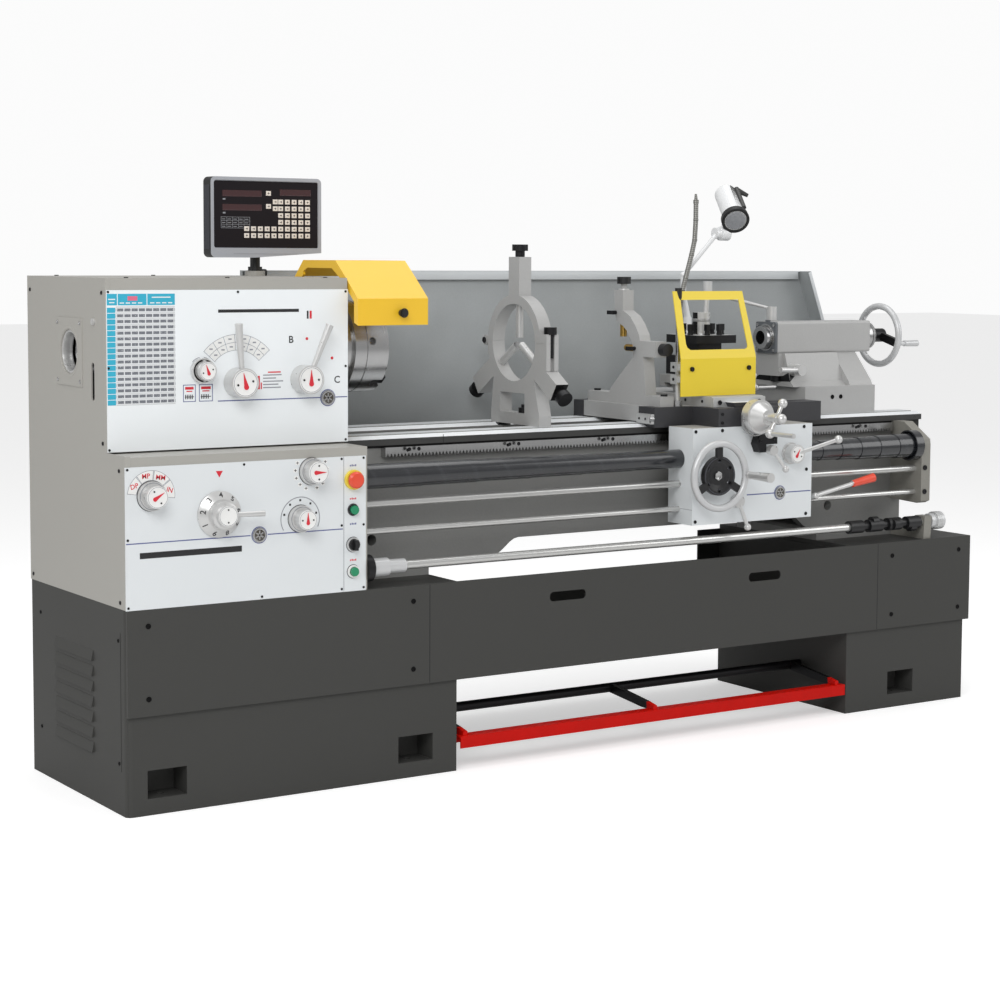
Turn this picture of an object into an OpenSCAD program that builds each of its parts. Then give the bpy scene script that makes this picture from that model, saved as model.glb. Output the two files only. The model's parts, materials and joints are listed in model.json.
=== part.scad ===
// Engine lathe, 410 mm swing, on a two-cabinet base.
// Sizes are in mm. Floor at z = 0, spindle axis along X, operator side at -Y.

/* [Base] */
// Length of the base, left end to right end
base_length = 2471; // [2380:1:2966]
// Depth of the cabinets behind the front covers
base_depth = 552; // [520:1:663]
// Height of the cabinet tops above the floor
base_top = 449; // [400:1:540]
// Height of the set-back plinths
plinth_height = 218; // [180:1:262]
// Length of the left cabinet
left_length = 825; // [760:1:860]
// Length of the right plinth
right_length = 422; // [350:1:507]
// Length of the left front cover
left_cover = 747; // [640:1:758]
// Length of the right front cover
right_cover = 338; // [280:1:400]
// Overhang of the right cabinet past its plinth
right_overhang = 15; // [5:1:30]
// How far the covers stand in front of the plinths
cover_step = 8; // [4:1:12]
// Sheet thickness of the cabinets
sheet = 4; // [3:0.5:5]
// Corner radius of the left cabinet
corner_r = 14; // [8:1:20]
// Anchor bolt hole diameter
anchor_hole = 18; // [14:1:22]
// Distance of the anchor holes from the plinth face
anchor_inset = 40; // [30:1:55]
// Width of an anchor pocket
pocket_width = 92; // [70:1:105]
// Height of an anchor pocket
pocket_height = 62; // [50:1:75]
// Height of the pocket ledge above the floor
pocket_ledge = 36; // [24:1:45]
// Height of the tray floor between the cabinets
tray_floor = 232; // [225:1:280]
// Height of the tray rear lip above the floor
tray_lip = 335; // [300:1:340]

/* [Bed] */
// Height of the bed ways above the cabinets
bed_height = 334; // [310:1:400]
// Width of the bed over the ways
bed_width = 330; // [320:1:345]
// Left end of the bed
bed_left = 130; // [125:1:140]
// Distance from the bed casting to the right end of the base
bed_end_gap = 126; // [100:1:150]
// Length of the ways past the casting
way_overhang = 67; // [40:1:80]
// Wall thickness of the bed casting
bed_wall = 26; // [18:1:30]
// Height of the bed belly above the cabinets
belly_rise = 70; // [50:1:90]
// Height of a V way
vee_height = 7; // [5:0.5:8]
// Rack module
rack_module = 3; // [2:0.5:4]

/* [Headstock] */
// Spindle centre height over the bed
centre_height = 205; // [200:1:246]
// Spindle axis behind the front covers
axis_y = 305; // [300:1:312]
// Right face of the headstock
head_right = 587; // [580:1:600]
// Front of the headstock casing
head_front = 103; // [100:1:110]
// Back of the headstock casing
head_back = 546; // [530:1:550]
// Top of the casing above the spindle axis
head_rise = 139; // [125:1:150]
// Height of the lid
lid_height = 25.5; // [20:0.5:30]
// Casting wall thickness
head_wall = 12; // [9:1:15]
// Front panel thickness
panel = 3; // [2:0.5:3]
// Gearbox depth
gearbox_depth = 135; // [120:1:139]
// Height of the gearbox casing
gearbox_height = 326; // [315:1:328]

/* [Spindle and chuck] */
// Spindle bore diameter
spindle_bore = 52; // [38:1:58]
// Spindle journal diameter
journal_d = 90; // [80:1:100]
// Spindle nose flange diameter
nose_d = 165; // [150:1:175]
// Chuck diameter
chuck_d = 220; // [200:1:250]
// Length of the chuck body
chuck_length = 89; // [75:1:95]
// Width of a chuck jaw
jaw_width = 24; // [18:1:28]
// Spindle pulley diameter
spindle_pulley_d = 200; // [170:1:220]
// Motor pulley diameter
motor_pulley_d = 110; // [90:1:130]
// Height of the motor shaft above the floor
motor_z = 205; // [180:1:240]

/* [Rods] */
// Distance of the rods behind the front covers
rod_y = 57; // [52:1:62]
// Leadscrew diameter
leadscrew_d = 30; // [24:1:34]
// Feed rod diameter
feed_rod_d = 18; // [16:1:22]
// Start rod diameter
control_rod_d = 15; // [12:1:18]
// Stop rod diameter
stop_rod_d = 21; // [18:1:24]
// Leadscrew drop below the ways
leadscrew_drop = 83; // [80:1:88]
// Feed rod drop below the ways
feed_rod_drop = 146; // [140:1:152]
// Start rod drop below the ways
control_rod_drop = 210; // [204:1:214]
// Height of the stop rod above the cabinets
stop_rod_rise = 46; // [40:1:50]

/* [Carriage] */
// Left end of the apron
apron_left = 1508; // [1450:1:1520]
// Length of the apron
apron_length = 388; // [370:1:400]
// Height of the apron
apron_height = 243; // [225:1:250]
// Depth of the apron
apron_depth = 100; // [85:1:104]
// Apron handwheel diameter
handwheel_d = 180; // [160:1:190]
// Length of the saddle wings
saddle_length = 550; // [530:1:560]
// Thickness of the saddle over the ways
saddle_height = 43; // [36:1:50]
// Width of the cross slide
cross_width = 165; // [150:1:175]
// Length of the cross slide
cross_length = 390; // [360:1:400]
// Tool post side
post_side = 130; // [110:1:140]

/* [Rests and tailstock] */
// Steady rest position along the base
steady_x = 1190; // [1150:1:1200]
// Thickness of the steady rest casting
steady_thick = 36; // [28:1:40]
// Inner radius of the steady rest ring
steady_inner = 97; // [85:1:100]
// Outer radius of the steady rest ring
steady_outer = 120; // [112:1:126]
// Length of the tailstock barrel
barrel_length = 332; // [310:1:350]
// Side of the square tailstock barrel
barrel_side = 86; // [80:1:96]
// Quill diameter
quill_d = 62; // [50:1:66]
// Taper bore diameter at the quill mouth
taper_d = 37; // [31:1:40]
// Tailstock handwheel diameter
tail_wheel_d = 180; // [150:1:190]

/* [Guards] */
// Length of the chuck guard
guard_length = 185; // [160:1:200]
// Sheet thickness of the guards
guard_sheet = 3; // [2:0.5:4]
// Width of the tool guard
tool_guard_width = 242; // [200:1:250]
// Top of the splash guard above the ways
splash_rise = 382; // [340:1:420]

/* [Fits] */
// Radial clearance of a running fit
fit = 0.05; // [0.02:0.01:0.1]
// Gap between faces of moving pieces
gap = 0.4; // [0.3:0.05:0.6]
// Seam between pieces that are screwed together
seam = 0.2; // [0.15:0.05:0.3]

/* [Hidden] */
$fn = 48;
bed_z = base_top + bed_height;
axis_z = bed_z + centre_height;
bed_right = base_length - bed_end_gap;
way_right = bed_right + way_overhang;
way_front = axis_y - bed_width / 2;
way_back = axis_y + bed_width / 2;
web_front = way_front + 10;
web_back = way_back - 10;
right_x = base_length - right_overhang - right_length;
head_base = bed_z - 5;
head_top = axis_z + head_rise;
lid_top = head_top + lid_height;
gear_right = head_right - 4;
gear_top = base_top + gearbox_height;
end_left = 12;
belt_bay = 118;
leadscrew_z = bed_z - leadscrew_drop;
feed_rod_z = bed_z - feed_rod_drop;
control_rod_z = bed_z - control_rod_drop;
stop_rod_z = base_top + stop_rod_rise;
stop_rod_y = 22;
bracket_left = bed_right - 35;
bracket_right = bed_right - 3;
apron_right = apron_left + apron_length;
apron_top = bed_z - 4;
apron_bottom = apron_top - apron_height;
saddle_left = apron_left - 38;
saddle_right = saddle_left + saddle_length;
saddle_top = bed_z + saddle_height;
cross_x = apron_left + 180;
cross_front = 50;
cross_screw_z = saddle_top - 21;
slide_y = 245;
slide_z = saddle_top + 54;
post_x = cross_x + 32;
post_top = slide_z + 122;
nose_x = head_right + 74;
tail_front = bed_right - 350;
tail_base_left = bed_right - 315;
tail_base_right = bed_right - 65;
tail_base_top = bed_z + 75;
shaft_r = 8;
guard_pivot_y = 430;
guard_pivot_z = axis_z + 110;
pedal_pivot_y = 200;
pedal_pivot_z = 105;
motor_left = 140;
readout_x = 552;
readout_y = 500;
// middle of the whole machine, front handle to splash guard
mid_x = base_length / 2;
mid_y = 190;

// ---------- helpers ----------

module place() translate([-mid_x, -mid_y, 0]) children();

// a YZ outline run along X from x0
module along_x(x0, length) translate([x0, 0, 0]) rotate([90, 0, 90]) linear_extrude(length) children();

// an XZ outline run along Y from y0
module along_y(y0, length) translate([0, y0 + length, 0]) rotate([90, 0, 0]) linear_extrude(length)
    children();

module bar_x(x0, x1, y, z, r) translate([x0, y, z]) rotate([0, 90, 0]) cylinder(h = x1 - x0, r = r);
module bar_y(x, y0, y1, z, r) translate([x, y0, z]) rotate([-90, 0, 0]) cylinder(h = y1 - y0, r = r);
module bar_z(x, y, z0, z1, r) translate([x, y, z0]) cylinder(h = z1 - z0, r = r);

// a round bar between two points
module rod_between(a, b, ra, rb) {
    d = b - a;
    length = norm(d);
    translate(a) rotate([0, acos(d[2] / length), atan2(d[1], d[0])]) cylinder(h = length, r1 = ra, r2 = rb);
}

module box(x0, x1, y0, y1, z0, z1) translate([x0, y0, z0]) cube([x1 - x0, y1 - y0, z1 - z0]);

module rounded_rect(w, h, r) {
    translate([r, 0]) square([w - 2 * r, h]);
    translate([0, r]) square([w, h - 2 * r]);
    for (x = [r, w - r], y = [r, h - r]) translate([x, y]) circle(r);
}

// a turned control on the front of the machine: drawn with +Z toward the operator
module on_front(x, y, z) translate([x, y, z]) rotate([90, 0, 0]) children();

// three-ball crank arm in the local XY plane, centred on the local Z axis
module ball_crank(reach, ball_r, handle) {
    cylinder(h = ball_r * 1.6, r = ball_r * 1.1, center = true);
    translate([0, -reach, 0]) cylinder(h = 2 * reach, r = ball_r * 0.45);
    rotate([90, 0, 0]) cylinder(h = 2 * reach, r = ball_r * 0.45, center = true);
    for (s = [-1, 1]) translate([0, s * reach, 0]) sphere(ball_r);
    translate([0, -reach, 0]) cylinder(h = handle, r = ball_r * 0.5);
}

// bores for the three rods, from x0 to x1
module rod_bores(x0, x1, clear) {
    bar_x(x0, x1, rod_y, leadscrew_z, leadscrew_d / 2 + clear);
    bar_x(x0, x1, rod_y, feed_rod_z, feed_rod_d / 2 + clear);
    bar_x(x0, x1, rod_y, control_rod_z, control_rod_d / 2 + clear);
}

// shaft holes through a front wall
module control_holes(controls, y0, y1) for (c = controls) bar_y(c[0], y0, y1, c[1], shaft_r + fit);

// dovetail outline standing on y = 0
module dovetail(foot, top, height, clear) polygon([
    [-foot - clear, -1], [-foot - clear, 0], [-top - 2 * clear, height + clear],
    [top + 2 * clear, height + clear], [foot + clear, 0], [foot + clear, -1]
]);

// round lever with a ball end, leaning out from its hub
module ball_lever(angle, height, tilt, length, r, ball_r)
    rotate([0, 0, angle]) translate([0, 0, height]) rotate([0, tilt, 0]) {
        cylinder(h = length, r = r);
        translate([0, 0, length - 1]) sphere(ball_r);
    }

// ---------- base ----------

module anchor_blocks(x) {
    depth = anchor_inset + 34;
    for (y = [cover_step, base_depth - depth])
        box(x - pocket_width / 2 - sheet, x + pocket_width / 2 + sheet, y, y + depth,
            0, pocket_ledge + pocket_height + sheet);
}

module anchor_cuts(x) {
    depth = anchor_inset + 31;
    for (y = [cover_step - 1, base_depth + 1 - depth])
        box(x - pocket_width / 2, x + pocket_width / 2, y, y + depth,
            pocket_ledge, pocket_ledge + pocket_height);
    for (y = [cover_step + anchor_inset, base_depth - anchor_inset])
        bar_z(x, y, -1, pocket_ledge + 1, anchor_hole / 2);
}

module cover_pan(x0, length) {
    difference() {
        box(x0, x0 + length, 0, cover_step - seam, plinth_height, base_top);
        box(x0 + panel, x0 + length - panel, panel, cover_step, plinth_height + panel, base_top - panel);
    }
}

left_anchors = [93, left_length - 111];
right_anchor = right_x + 194;

module left_pedestal() color("dimgray") place() {
    difference() {
        union() {
            difference() {
                linear_extrude(base_top) {
                    translate([corner_r, cover_step])
                        square([left_length - corner_r, base_depth - cover_step]);
                    translate([0, cover_step + corner_r])
                        square([corner_r, base_depth - cover_step - corner_r]);
                    translate([corner_r, cover_step + corner_r]) circle(corner_r);
                }
                box(sheet, left_length - sheet, cover_step + sheet, base_depth - sheet, sheet,
                    base_top - sheet);
            }
            for (x = left_anchors) anchor_blocks(x);
            // louvre hoods on the left side
            for (i = [0:6]) along_y(187, 218)
                polygon([[-6, 110 + i * 34], [0.5, 110 + i * 34], [0.5, 134 + i * 34], [-1, 132 + i * 34]]);
            // bushes for the brake pivot bar
            bar_x(left_length - 30, left_length, pedal_pivot_y, pedal_pivot_z, 22);
        }
        for (x = left_anchors) anchor_cuts(x);
        for (i = [0:6]) along_y(190, 212)
            polygon([[-4, 109 + i * 34], [sheet + 1, 109 + i * 34], [sheet + 1, 121 + i * 34],
                [-2, 121 + i * 34]]);
        // way through for the drive belts
        box(24, belt_bay, axis_y - spindle_pulley_d / 2 - 20, axis_y + spindle_pulley_d / 2 + 20,
            base_top - 2 * sheet, base_top + 1);
        bar_x(left_length - 26, left_length + 1, pedal_pivot_y, pedal_pivot_z, 12 + fit);
    }
    cover_pan(0, left_cover);
}

module right_pedestal() color("dimgray") place() {
    difference() {
        union() {
            difference() {
                union() {
                    box(right_x, right_x + right_length, cover_step, base_depth, 0, plinth_height + 1);
                    box(right_x, base_length, cover_step, base_depth, plinth_height, base_top);
                }
                box(right_x + sheet, right_x + right_length - sheet, cover_step + sheet,
                    base_depth - sheet, sheet, base_top - sheet);
            }
            anchor_blocks(right_anchor);
            bar_x(right_x, right_x + 30, pedal_pivot_y, pedal_pivot_z, 22);
        }
        anchor_cuts(right_anchor);
        bar_x(right_x - 1, right_x + 26, pedal_pivot_y, pedal_pivot_z, 12 + fit);
    }
    cover_pan(base_length - right_cover, right_cover);
}

centre_left = left_cover + seam;
centre_right = base_length - right_cover - seam;

module chip_tray() color("dimgray") place() {
    // tray between the cabinets: floor, end walls, then front and back walls that are low in the middle
    box(left_length, right_x, cover_step, base_depth, tray_floor - sheet, tray_floor);
    for (x = [left_length, right_x - sheet])
        box(x, x + sheet, cover_step, base_depth, tray_floor + seam, base_top - 12);
    for (wall = [[cover_step, tray_lip + 20], [base_depth - sheet, tray_lip]])
        along_y(wall[0], sheet) polygon([
            [left_length + sheet + seam, tray_floor + seam], [right_x - sheet - seam, tray_floor + seam],
            [right_x - sheet - seam, base_top - 12], [right_x - 80, base_top - 12], [right_x - 80, wall[1]],
            [left_length + 80, wall[1]], [left_length + 80, base_top - 12],
            [left_length + sheet + seam, base_top - 12]
        ]);
    // front panel with two hand slots
    difference() {
        box(centre_left, centre_right, 0, cover_step - seam, plinth_height, base_top);
        box(centre_left + panel, centre_right - panel, panel, cover_step, plinth_height + panel,
            base_top - panel);
        for (x = [centre_left + 334, centre_right - 440]) along_y(-1, cover_step)
            translate([x, base_top - 69]) rounded_rect(105, 23, 10);
    }
}

// ---------- bed ----------

// one V way drawn about its own centre line, top at z = 0
module vee(extra) polygon([
    [-14 - 2 * extra, -vee_height], [-2 - extra, extra], [2 + extra, extra], [14 + 2 * extra, -vee_height]
]);

front_vee = way_front + 20;
rear_vee = axis_y + 85;

module rail_section() {
    polygon([
        [way_front, bed_z - 22], [way_front, bed_z - vee_height], [way_front + 42, bed_z - vee_height],
        [way_front + 42, bed_z], [way_front + 92, bed_z], [way_front + 92, bed_z - 28],
        [web_front + bed_wall, bed_z - 48], [web_front, bed_z - 48], [web_front, bed_z - 22]
    ]);
    translate([front_vee, bed_z]) vee(0);
    polygon([
        [way_back, bed_z - 22], [way_back, bed_z], [way_back - 56, bed_z],
        [way_back - 56, bed_z - vee_height],
        [axis_y + 65, bed_z - vee_height], [axis_y + 65, bed_z - 28], [web_back - bed_wall, bed_z - 48],
        [web_back, bed_z - 48], [web_back, bed_z - 22]
    ]);
    translate([rear_vee, bed_z]) vee(0);
}

belly_z = base_top + belly_rise;
shoulder_z = base_top + 31;

module web_outline() polygon(concat(
    [[bed_left, base_top], [left_length, base_top], [left_length, shoulder_z]],
    [for (i = [0:6]) [left_length + 190 + i * 12,
        shoulder_z + (belly_z - shoulder_z) * (1 - cos(i * 30)) / 2]],
    [for (i = [6:-1:0]) [right_x - 10 - i * 12, shoulder_z + (belly_z - shoulder_z) * (1 - cos(i * 30)) / 2]],
    [[right_x, shoulder_z], [right_x, base_top], [bed_right, base_top], [bed_right, bed_z - 30],
        [bed_left, bed_z - 30]]
));

rack_left = 702;
rack_right = bed_right - 50;
rack_pitch = PI * rack_module;
rack_teeth = floor((rack_right - rack_left) / rack_pitch) - 1;

module rack() difference() {
    along_y(web_front - 22, 22 - seam) polygon(concat(
        [[rack_right, bed_z - 26], [rack_left, bed_z - 26], [rack_left, bed_z - 48]],
        [for (i = [0:rack_teeth - 1], k = [0:3]) [
            rack_left + 3 + rack_pitch * (i + [0, 0.27, 0.5, 0.77][k]),
            bed_z - 48 + (k == 0 || k == 3 ? 0 : 2.2 * rack_module)
        ]],
        [[rack_right, bed_z - 48]]
    ));
    for (x = [rack_left + 60:280:rack_right - 60]) bar_y(x, web_front - 30, web_front, bed_z - 34, 4);
}

module bed() color("silver") place() {
    difference() {
        union() {
            along_x(bed_left, way_right - bed_left) rail_section();
            along_y(web_front, bed_wall) web_outline();
            along_y(web_back - bed_wall, bed_wall) web_outline();
            for (x = [bed_left, bed_right - 20]) box(x, x + 20, web_front, web_back, base_top, bed_z - 40);
            box(bed_left, left_length, web_front - 14, web_back + 14, base_top, base_top + 22);
            box(right_x, bed_right, web_front - 14, web_back + 14, base_top, base_top + 22);
            // cross ribs
            for (i = [1:7]) {
                x = bed_left + i * (bed_right - bed_left) / 8;
                box(x, x + 16, web_front, web_back, belly_z + 10, bed_z - 70);
            }
        }
        // the headstock seat is planed lower than the ways
        box(bed_left - 1, head_right + gap, way_front - 1, way_back + 1, head_base, bed_z + 1);
        for (x = [677, right_x + 50]) bar_y(x, web_front - 1, web_back + 1, base_top + 90, 13);
    }
    rack();
}

// ---------- headstock ----------

speed_at = [308, axis_z - 66];
range_at = [472, axis_z - 63];
direction_at = [223, axis_z - 38];
head_controls = [speed_at, range_at, direction_at];

module headstock_casing() color("lightgray") place() {
    difference() {
        box(end_left, head_right, head_front, head_back, head_base, head_top);
        box(belt_bay + 22, head_right - 22, head_front + head_wall, head_back - head_wall,
            head_base + head_wall, head_top + 1);
        box(end_left - 1, belt_bay, head_front + head_wall, head_back - head_wall, head_base - 1,
            head_top + 1);
        bar_x(belt_bay - 1, head_right + 1, axis_y, axis_z, 70);
        bar_x(head_right - 30, head_right + 1, guard_pivot_y, guard_pivot_z, shaft_r + fit);
        control_holes(head_controls, head_front - 1, head_front + head_wall + 1);
    }
    // spindle bearings in the two end walls
    for (x = [belt_bay, head_right - 22]) difference() {
        bar_x(x, x + 22, axis_y, axis_z, 70 - seam);
        bar_x(x - 1, x + 23, axis_y, axis_z, journal_d / 2 + fit);
    }
    // front panel
    difference() {
        box(2, head_right, head_front - panel, head_front - seam, head_base + 1, head_top);
        control_holes(head_controls, head_front - 5, head_front + 1);
    }
    // lid with the readout socket
    difference() {
        union() {
            difference() {
                box(end_left, head_right, head_front, head_back + 12, head_top + seam, lid_top);
                box(end_left + sheet, head_right - sheet, head_front + sheet, head_back + 12 - sheet,
                    head_top, lid_top - sheet);
            }
            bar_z(readout_x, readout_y, head_top + 4, lid_top + 12, 24);
        }
        bar_z(readout_x, readout_y, head_top + 8, lid_top + 13, 12 + fit);
    }
}

module end_cover_outline() {
    translate([head_front, head_base]) square([head_back + 12 - head_front, lid_top - head_base]);
    translate([panel, base_top]) square([head_back + 12 - panel, head_base - base_top]);
}

module end_cover() color("gainsboro") place() {
    difference() {
        union() {
            along_x(0, panel) end_cover_outline();
            // folded lips: upper front, lower front, top and back
            box(0, end_left - seam, head_front, head_front + panel, head_base, lid_top);
            box(0, end_left - seam, panel, 2 * panel, base_top, head_base);
            box(0, end_left - seam, head_front, head_back + 12, lid_top - panel, lid_top);
            box(0, belt_bay, head_back + 12 - panel, head_back + 12, base_top, head_top);
            // square plate round the spindle
            box(-2, panel, axis_y - 75, axis_y + 75, axis_z - 75, axis_z + 75);
        }
        bar_x(-3, panel + 1, axis_y, axis_z, 49);
        along_x(-3, 8) translate([165, axis_z - 102]) rounded_rect(17, 83, 8);
        // the rear lip is hooked over the casing
        box(end_left, belt_bay + 1, head_back - 1, head_back + seam, head_base, head_top + 1);
    }
    bar_x(-5, 1, 165, axis_z + 70, 7);
}

readout_bottom = lid_top + 44;
readout_width = 294;
readout_height = 191;

module readout() color("gray") place() {
    // display case
    difference() {
        along_y(readout_y - 52, 40) difference() {
            translate([readout_x - 141, readout_bottom]) rounded_rect(readout_width, readout_height, 12);
            polygon([[readout_x - 40, readout_bottom - 1], [readout_x + 160, readout_bottom - 1],
                [readout_x + 160, readout_bottom + 12]]);
        }
        // shallow recess of the front face
        along_y(readout_y - 53, 3) translate([readout_x - 133, readout_bottom + 22])
            rounded_rect(readout_width - 16, readout_height - 30, 8);
    }
    // post and its tilt bracket
    bar_z(readout_x, readout_y, head_top + 9, lid_top + 80, 12);
    bar_z(readout_x, readout_y, lid_top + 12 + gap, lid_top + 22, 17);
    box(readout_x - 16, readout_x + 16, readout_y - 13, readout_y + 6, readout_bottom + 14,
        readout_bottom + 60);
}

thread_at = [57, base_top + 243];
dial_at = [214, base_top + 195];
upper_at = [440, base_top + 277];
lower_at = [412, base_top + 173];
button_x = 545;
stop_at = [button_x, base_top + 253];
start_at = [button_x, base_top + 185];
mode_at = [button_x, base_top + 106];
jog_at = [button_x, base_top + 45];
gear_controls = [thread_at, dial_at, upper_at, lower_at, stop_at, start_at, mode_at, jog_at];

module gearbox_casing() color("gainsboro") place() {
    difference() {
        box(end_left, gear_right, panel, gearbox_depth, base_top, gear_top);
        box(end_left + head_wall, gear_right - head_wall, panel + head_wall, gearbox_depth - head_wall,
            base_top + head_wall, gear_top - head_wall);
        rod_bores(gear_right - 20, gear_right + 1, fit);
        bar_x(gear_right - 11, gear_right + 1, stop_rod_y, stop_rod_z, stop_rod_d / 2 + fit);
        control_holes(gear_controls, 0, panel + head_wall + 1);
    }
    // front panel
    difference() {
        box(-2, gear_right - 5, 0, panel - seam, base_top + seam, gear_top - 20);
        control_holes(gear_controls, -1, panel);
    }
}

module shaft_front(length) translate([0, 0, -length]) cylinder(h = length + 1, r = shaft_r);

// hand lever on a round hub, leaning clockwise by lean degrees
module hub_lever(hub_r, hub_l, reach, lean) {
    cylinder(h = hub_l, r = hub_r);
    shaft_front(14);
    rotate([0, 0, -lean]) translate([0, 0, hub_l - 14]) rotate([-86, 0, 0])
        cylinder(h = hub_r + reach, r1 = 5, r2 = 9);
}

module knob_body(flange_r, flange_l, body_r, total) {
    shaft_front(14);
    cylinder(h = flange_l, r = flange_r);
    cylinder(h = total, r = body_r);
}

head_face = head_front - panel - gap;
gear_face = -gap;

module speed_lever() color("silver") place()
    on_front(speed_at[0], head_face, speed_at[1]) hub_lever(33, 42, 99, -6);

module range_lever() color("silver") place()
    on_front(range_at[0], head_face, range_at[1]) hub_lever(32.5, 40, 100, 22);

module direction_knob() color("silver") place()
    on_front(direction_at[0], head_face, direction_at[1]) {
        knob_body(25, 12, 21, 32);
        translate([-3, -24, 0]) cube([6, 48, 14]);
    }

module thread_knob() color("silver") place()
    on_front(thread_at[0], gear_face, thread_at[1]) {
        knob_body(32, 9, 24, 32);
        translate([-3, -23, 30]) cube([6, 46, 4]);
    }

module feed_dial() color("silver") place()
    on_front(dial_at[0], gear_face, dial_at[1]) {
        shaft_front(14);
        rotate_extrude() polygon([[0, 0], [51, 0], [51, 5], [34, 18], [30, 18], [30, 34], [24, 36],
            [24, 48], [0, 48]]);
        translate([0, 0, 28]) rotate([0, 84, 0]) cylinder(h = 92, r1 = 5, r2 = 6.5);
    }

module feed_knob_upper() color("silver") place()
    on_front(upper_at[0], gear_face, upper_at[1]) {
        knob_body(30, 10, 24.5, 34);
        translate([-3, -23, 32]) cube([6, 46, 4]);
    }

module feed_knob_lower() color("silver") place()
    on_front(lower_at[0], gear_face, lower_at[1]) {
        knob_body(30, 10, 22, 35);
        translate([-3, -21, 33]) cube([6, 42, 4]);
    }

module emergency_stop() color("red") place()
    on_front(stop_at[0], -9, stop_at[1]) {
        shaft_front(20);
        rotate_extrude() polygon([[0, 0], [12, 0], [19, 5], [19, 9], [15, 13], [0, 14]]);
    }

module push_button(c, r) place() on_front(c[0], -5, c[1]) {
    shaft_front(15);
    cylinder(h = 6, r = r);
}

module start_button() color("green") push_button(start_at, 10);

module jog_button() color("green") push_button(jog_at, 10);

module mode_selector() color("black") place()
    on_front(mode_at[0], gear_face, mode_at[1]) {
        shaft_front(14);
        cylinder(h = 10, r = 12.5);
        translate([-4, -12, 9]) cube([8, 24, 10]);
    }

// ---------- drive ----------

module grooves(x0, r, count) for (i = [0:count - 1]) difference() {
    bar_x(x0 + 9 + i * 17, x0 + 19 + i * 17, axis_y, 0, r + 1);
    bar_x(x0 + 8 + i * 17, x0 + 20 + i * 17, axis_y, 0, r - 9);
}

pulley_x = 40;
pulley_width = 60;

module spindle() color("silver") place() {
    // spindle, turned in one piece with its rear ring and nose flange
    translate([0, axis_y, axis_z]) rotate([0, 90, 0]) rotate_extrude() polygon([
        [spindle_bore / 2, 30], [39, 30], [39, 38], [42, 38], [42, belt_bay - 4],
        [journal_d / 2, belt_bay - 4], [journal_d / 2, head_right + 8], [nose_d / 2, head_right + 8],
        [nose_d / 2, nose_x - 31], [53, nose_x - 31], [53, nose_x - 21], [spindle_bore / 2, nose_x - 21]
    ]);
    // belt pulley keyed on the left end
    difference() {
        bar_x(pulley_x, pulley_x + pulley_width, axis_y, axis_z, spindle_pulley_d / 2);
        bar_x(pulley_x - 1, pulley_x + pulley_width + 1, axis_y, axis_z, 42 + seam);
        translate([0, 0, axis_z]) grooves(pulley_x, spindle_pulley_d / 2, 3);
    }
}

module motor_pulley() color("dimgray") place() difference() {
    union() {
        bar_x(pulley_x, pulley_x + pulley_width, axis_y, motor_z, motor_pulley_d / 2);
        bar_x(pulley_x, motor_left + 20, axis_y, motor_z, 14);
    }
    translate([0, 0, motor_z]) grooves(pulley_x, motor_pulley_d / 2, 3);
}

// flat loop round two pulley radii, drawn in YZ
module belt_loop(rs, rm) {
    drop = axis_z - motor_z;
    tilt = asin((rs - rm) / drop);
    translate([axis_y, axis_z]) circle(rs);
    translate([axis_y, motor_z]) circle(rm);
    for (s = [-1, 1]) polygon([
        [axis_y, axis_z], [axis_y + s * rs * cos(tilt), axis_z + rs * sin(tilt)],
        [axis_y + s * rm * cos(tilt), motor_z + rm * sin(tilt)], [axis_y, motor_z]
    ]);
}

module drive_belts() color("black") place()
    for (i = [0:2]) along_x(pulley_x + 9.5 + i * 17, 9) difference() {
        belt_loop(spindle_pulley_d / 2 - 1, motor_pulley_d / 2 - 1);
        belt_loop(spindle_pulley_d / 2 - 9 + fit, motor_pulley_d / 2 - 9 + fit);
    }

module main_motor() color("steelblue") place() {
    difference() {
        union() {
            bar_x(motor_left, motor_left + 250, axis_y, motor_z, 95);
            bar_x(motor_left + 250, motor_left + 300, axis_y, motor_z, 88);
            // cooling fins
            along_x(motor_left + 30, 200) translate([axis_y, motor_z])
                for (side = [0, 180], a = [-45:15:45]) rotate(a + side) translate([88, -2]) square([16, 4]);
            // foot standing on the cabinet floor
            box(motor_left + 20, motor_left + 230, axis_y - 80, axis_y + 80, sheet, motor_z - 80);
            box(motor_left + 90, motor_left + 170, axis_y - 40, axis_y + 40, motor_z + 70, motor_z + 130);
        }
        bar_x(motor_left - 1, motor_left + 21, axis_y, motor_z, 14 + fit);
    }
}

// ---------- chuck ----------

jaw_x = nose_x + 61;
jaw_angles = [68, -52, 188];

// local frame of one jaw slot: +Z radial, X along the spindle
module at_jaw(a) translate([0, axis_y, axis_z]) rotate([90 - a, 0, 0]) children();

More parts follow.
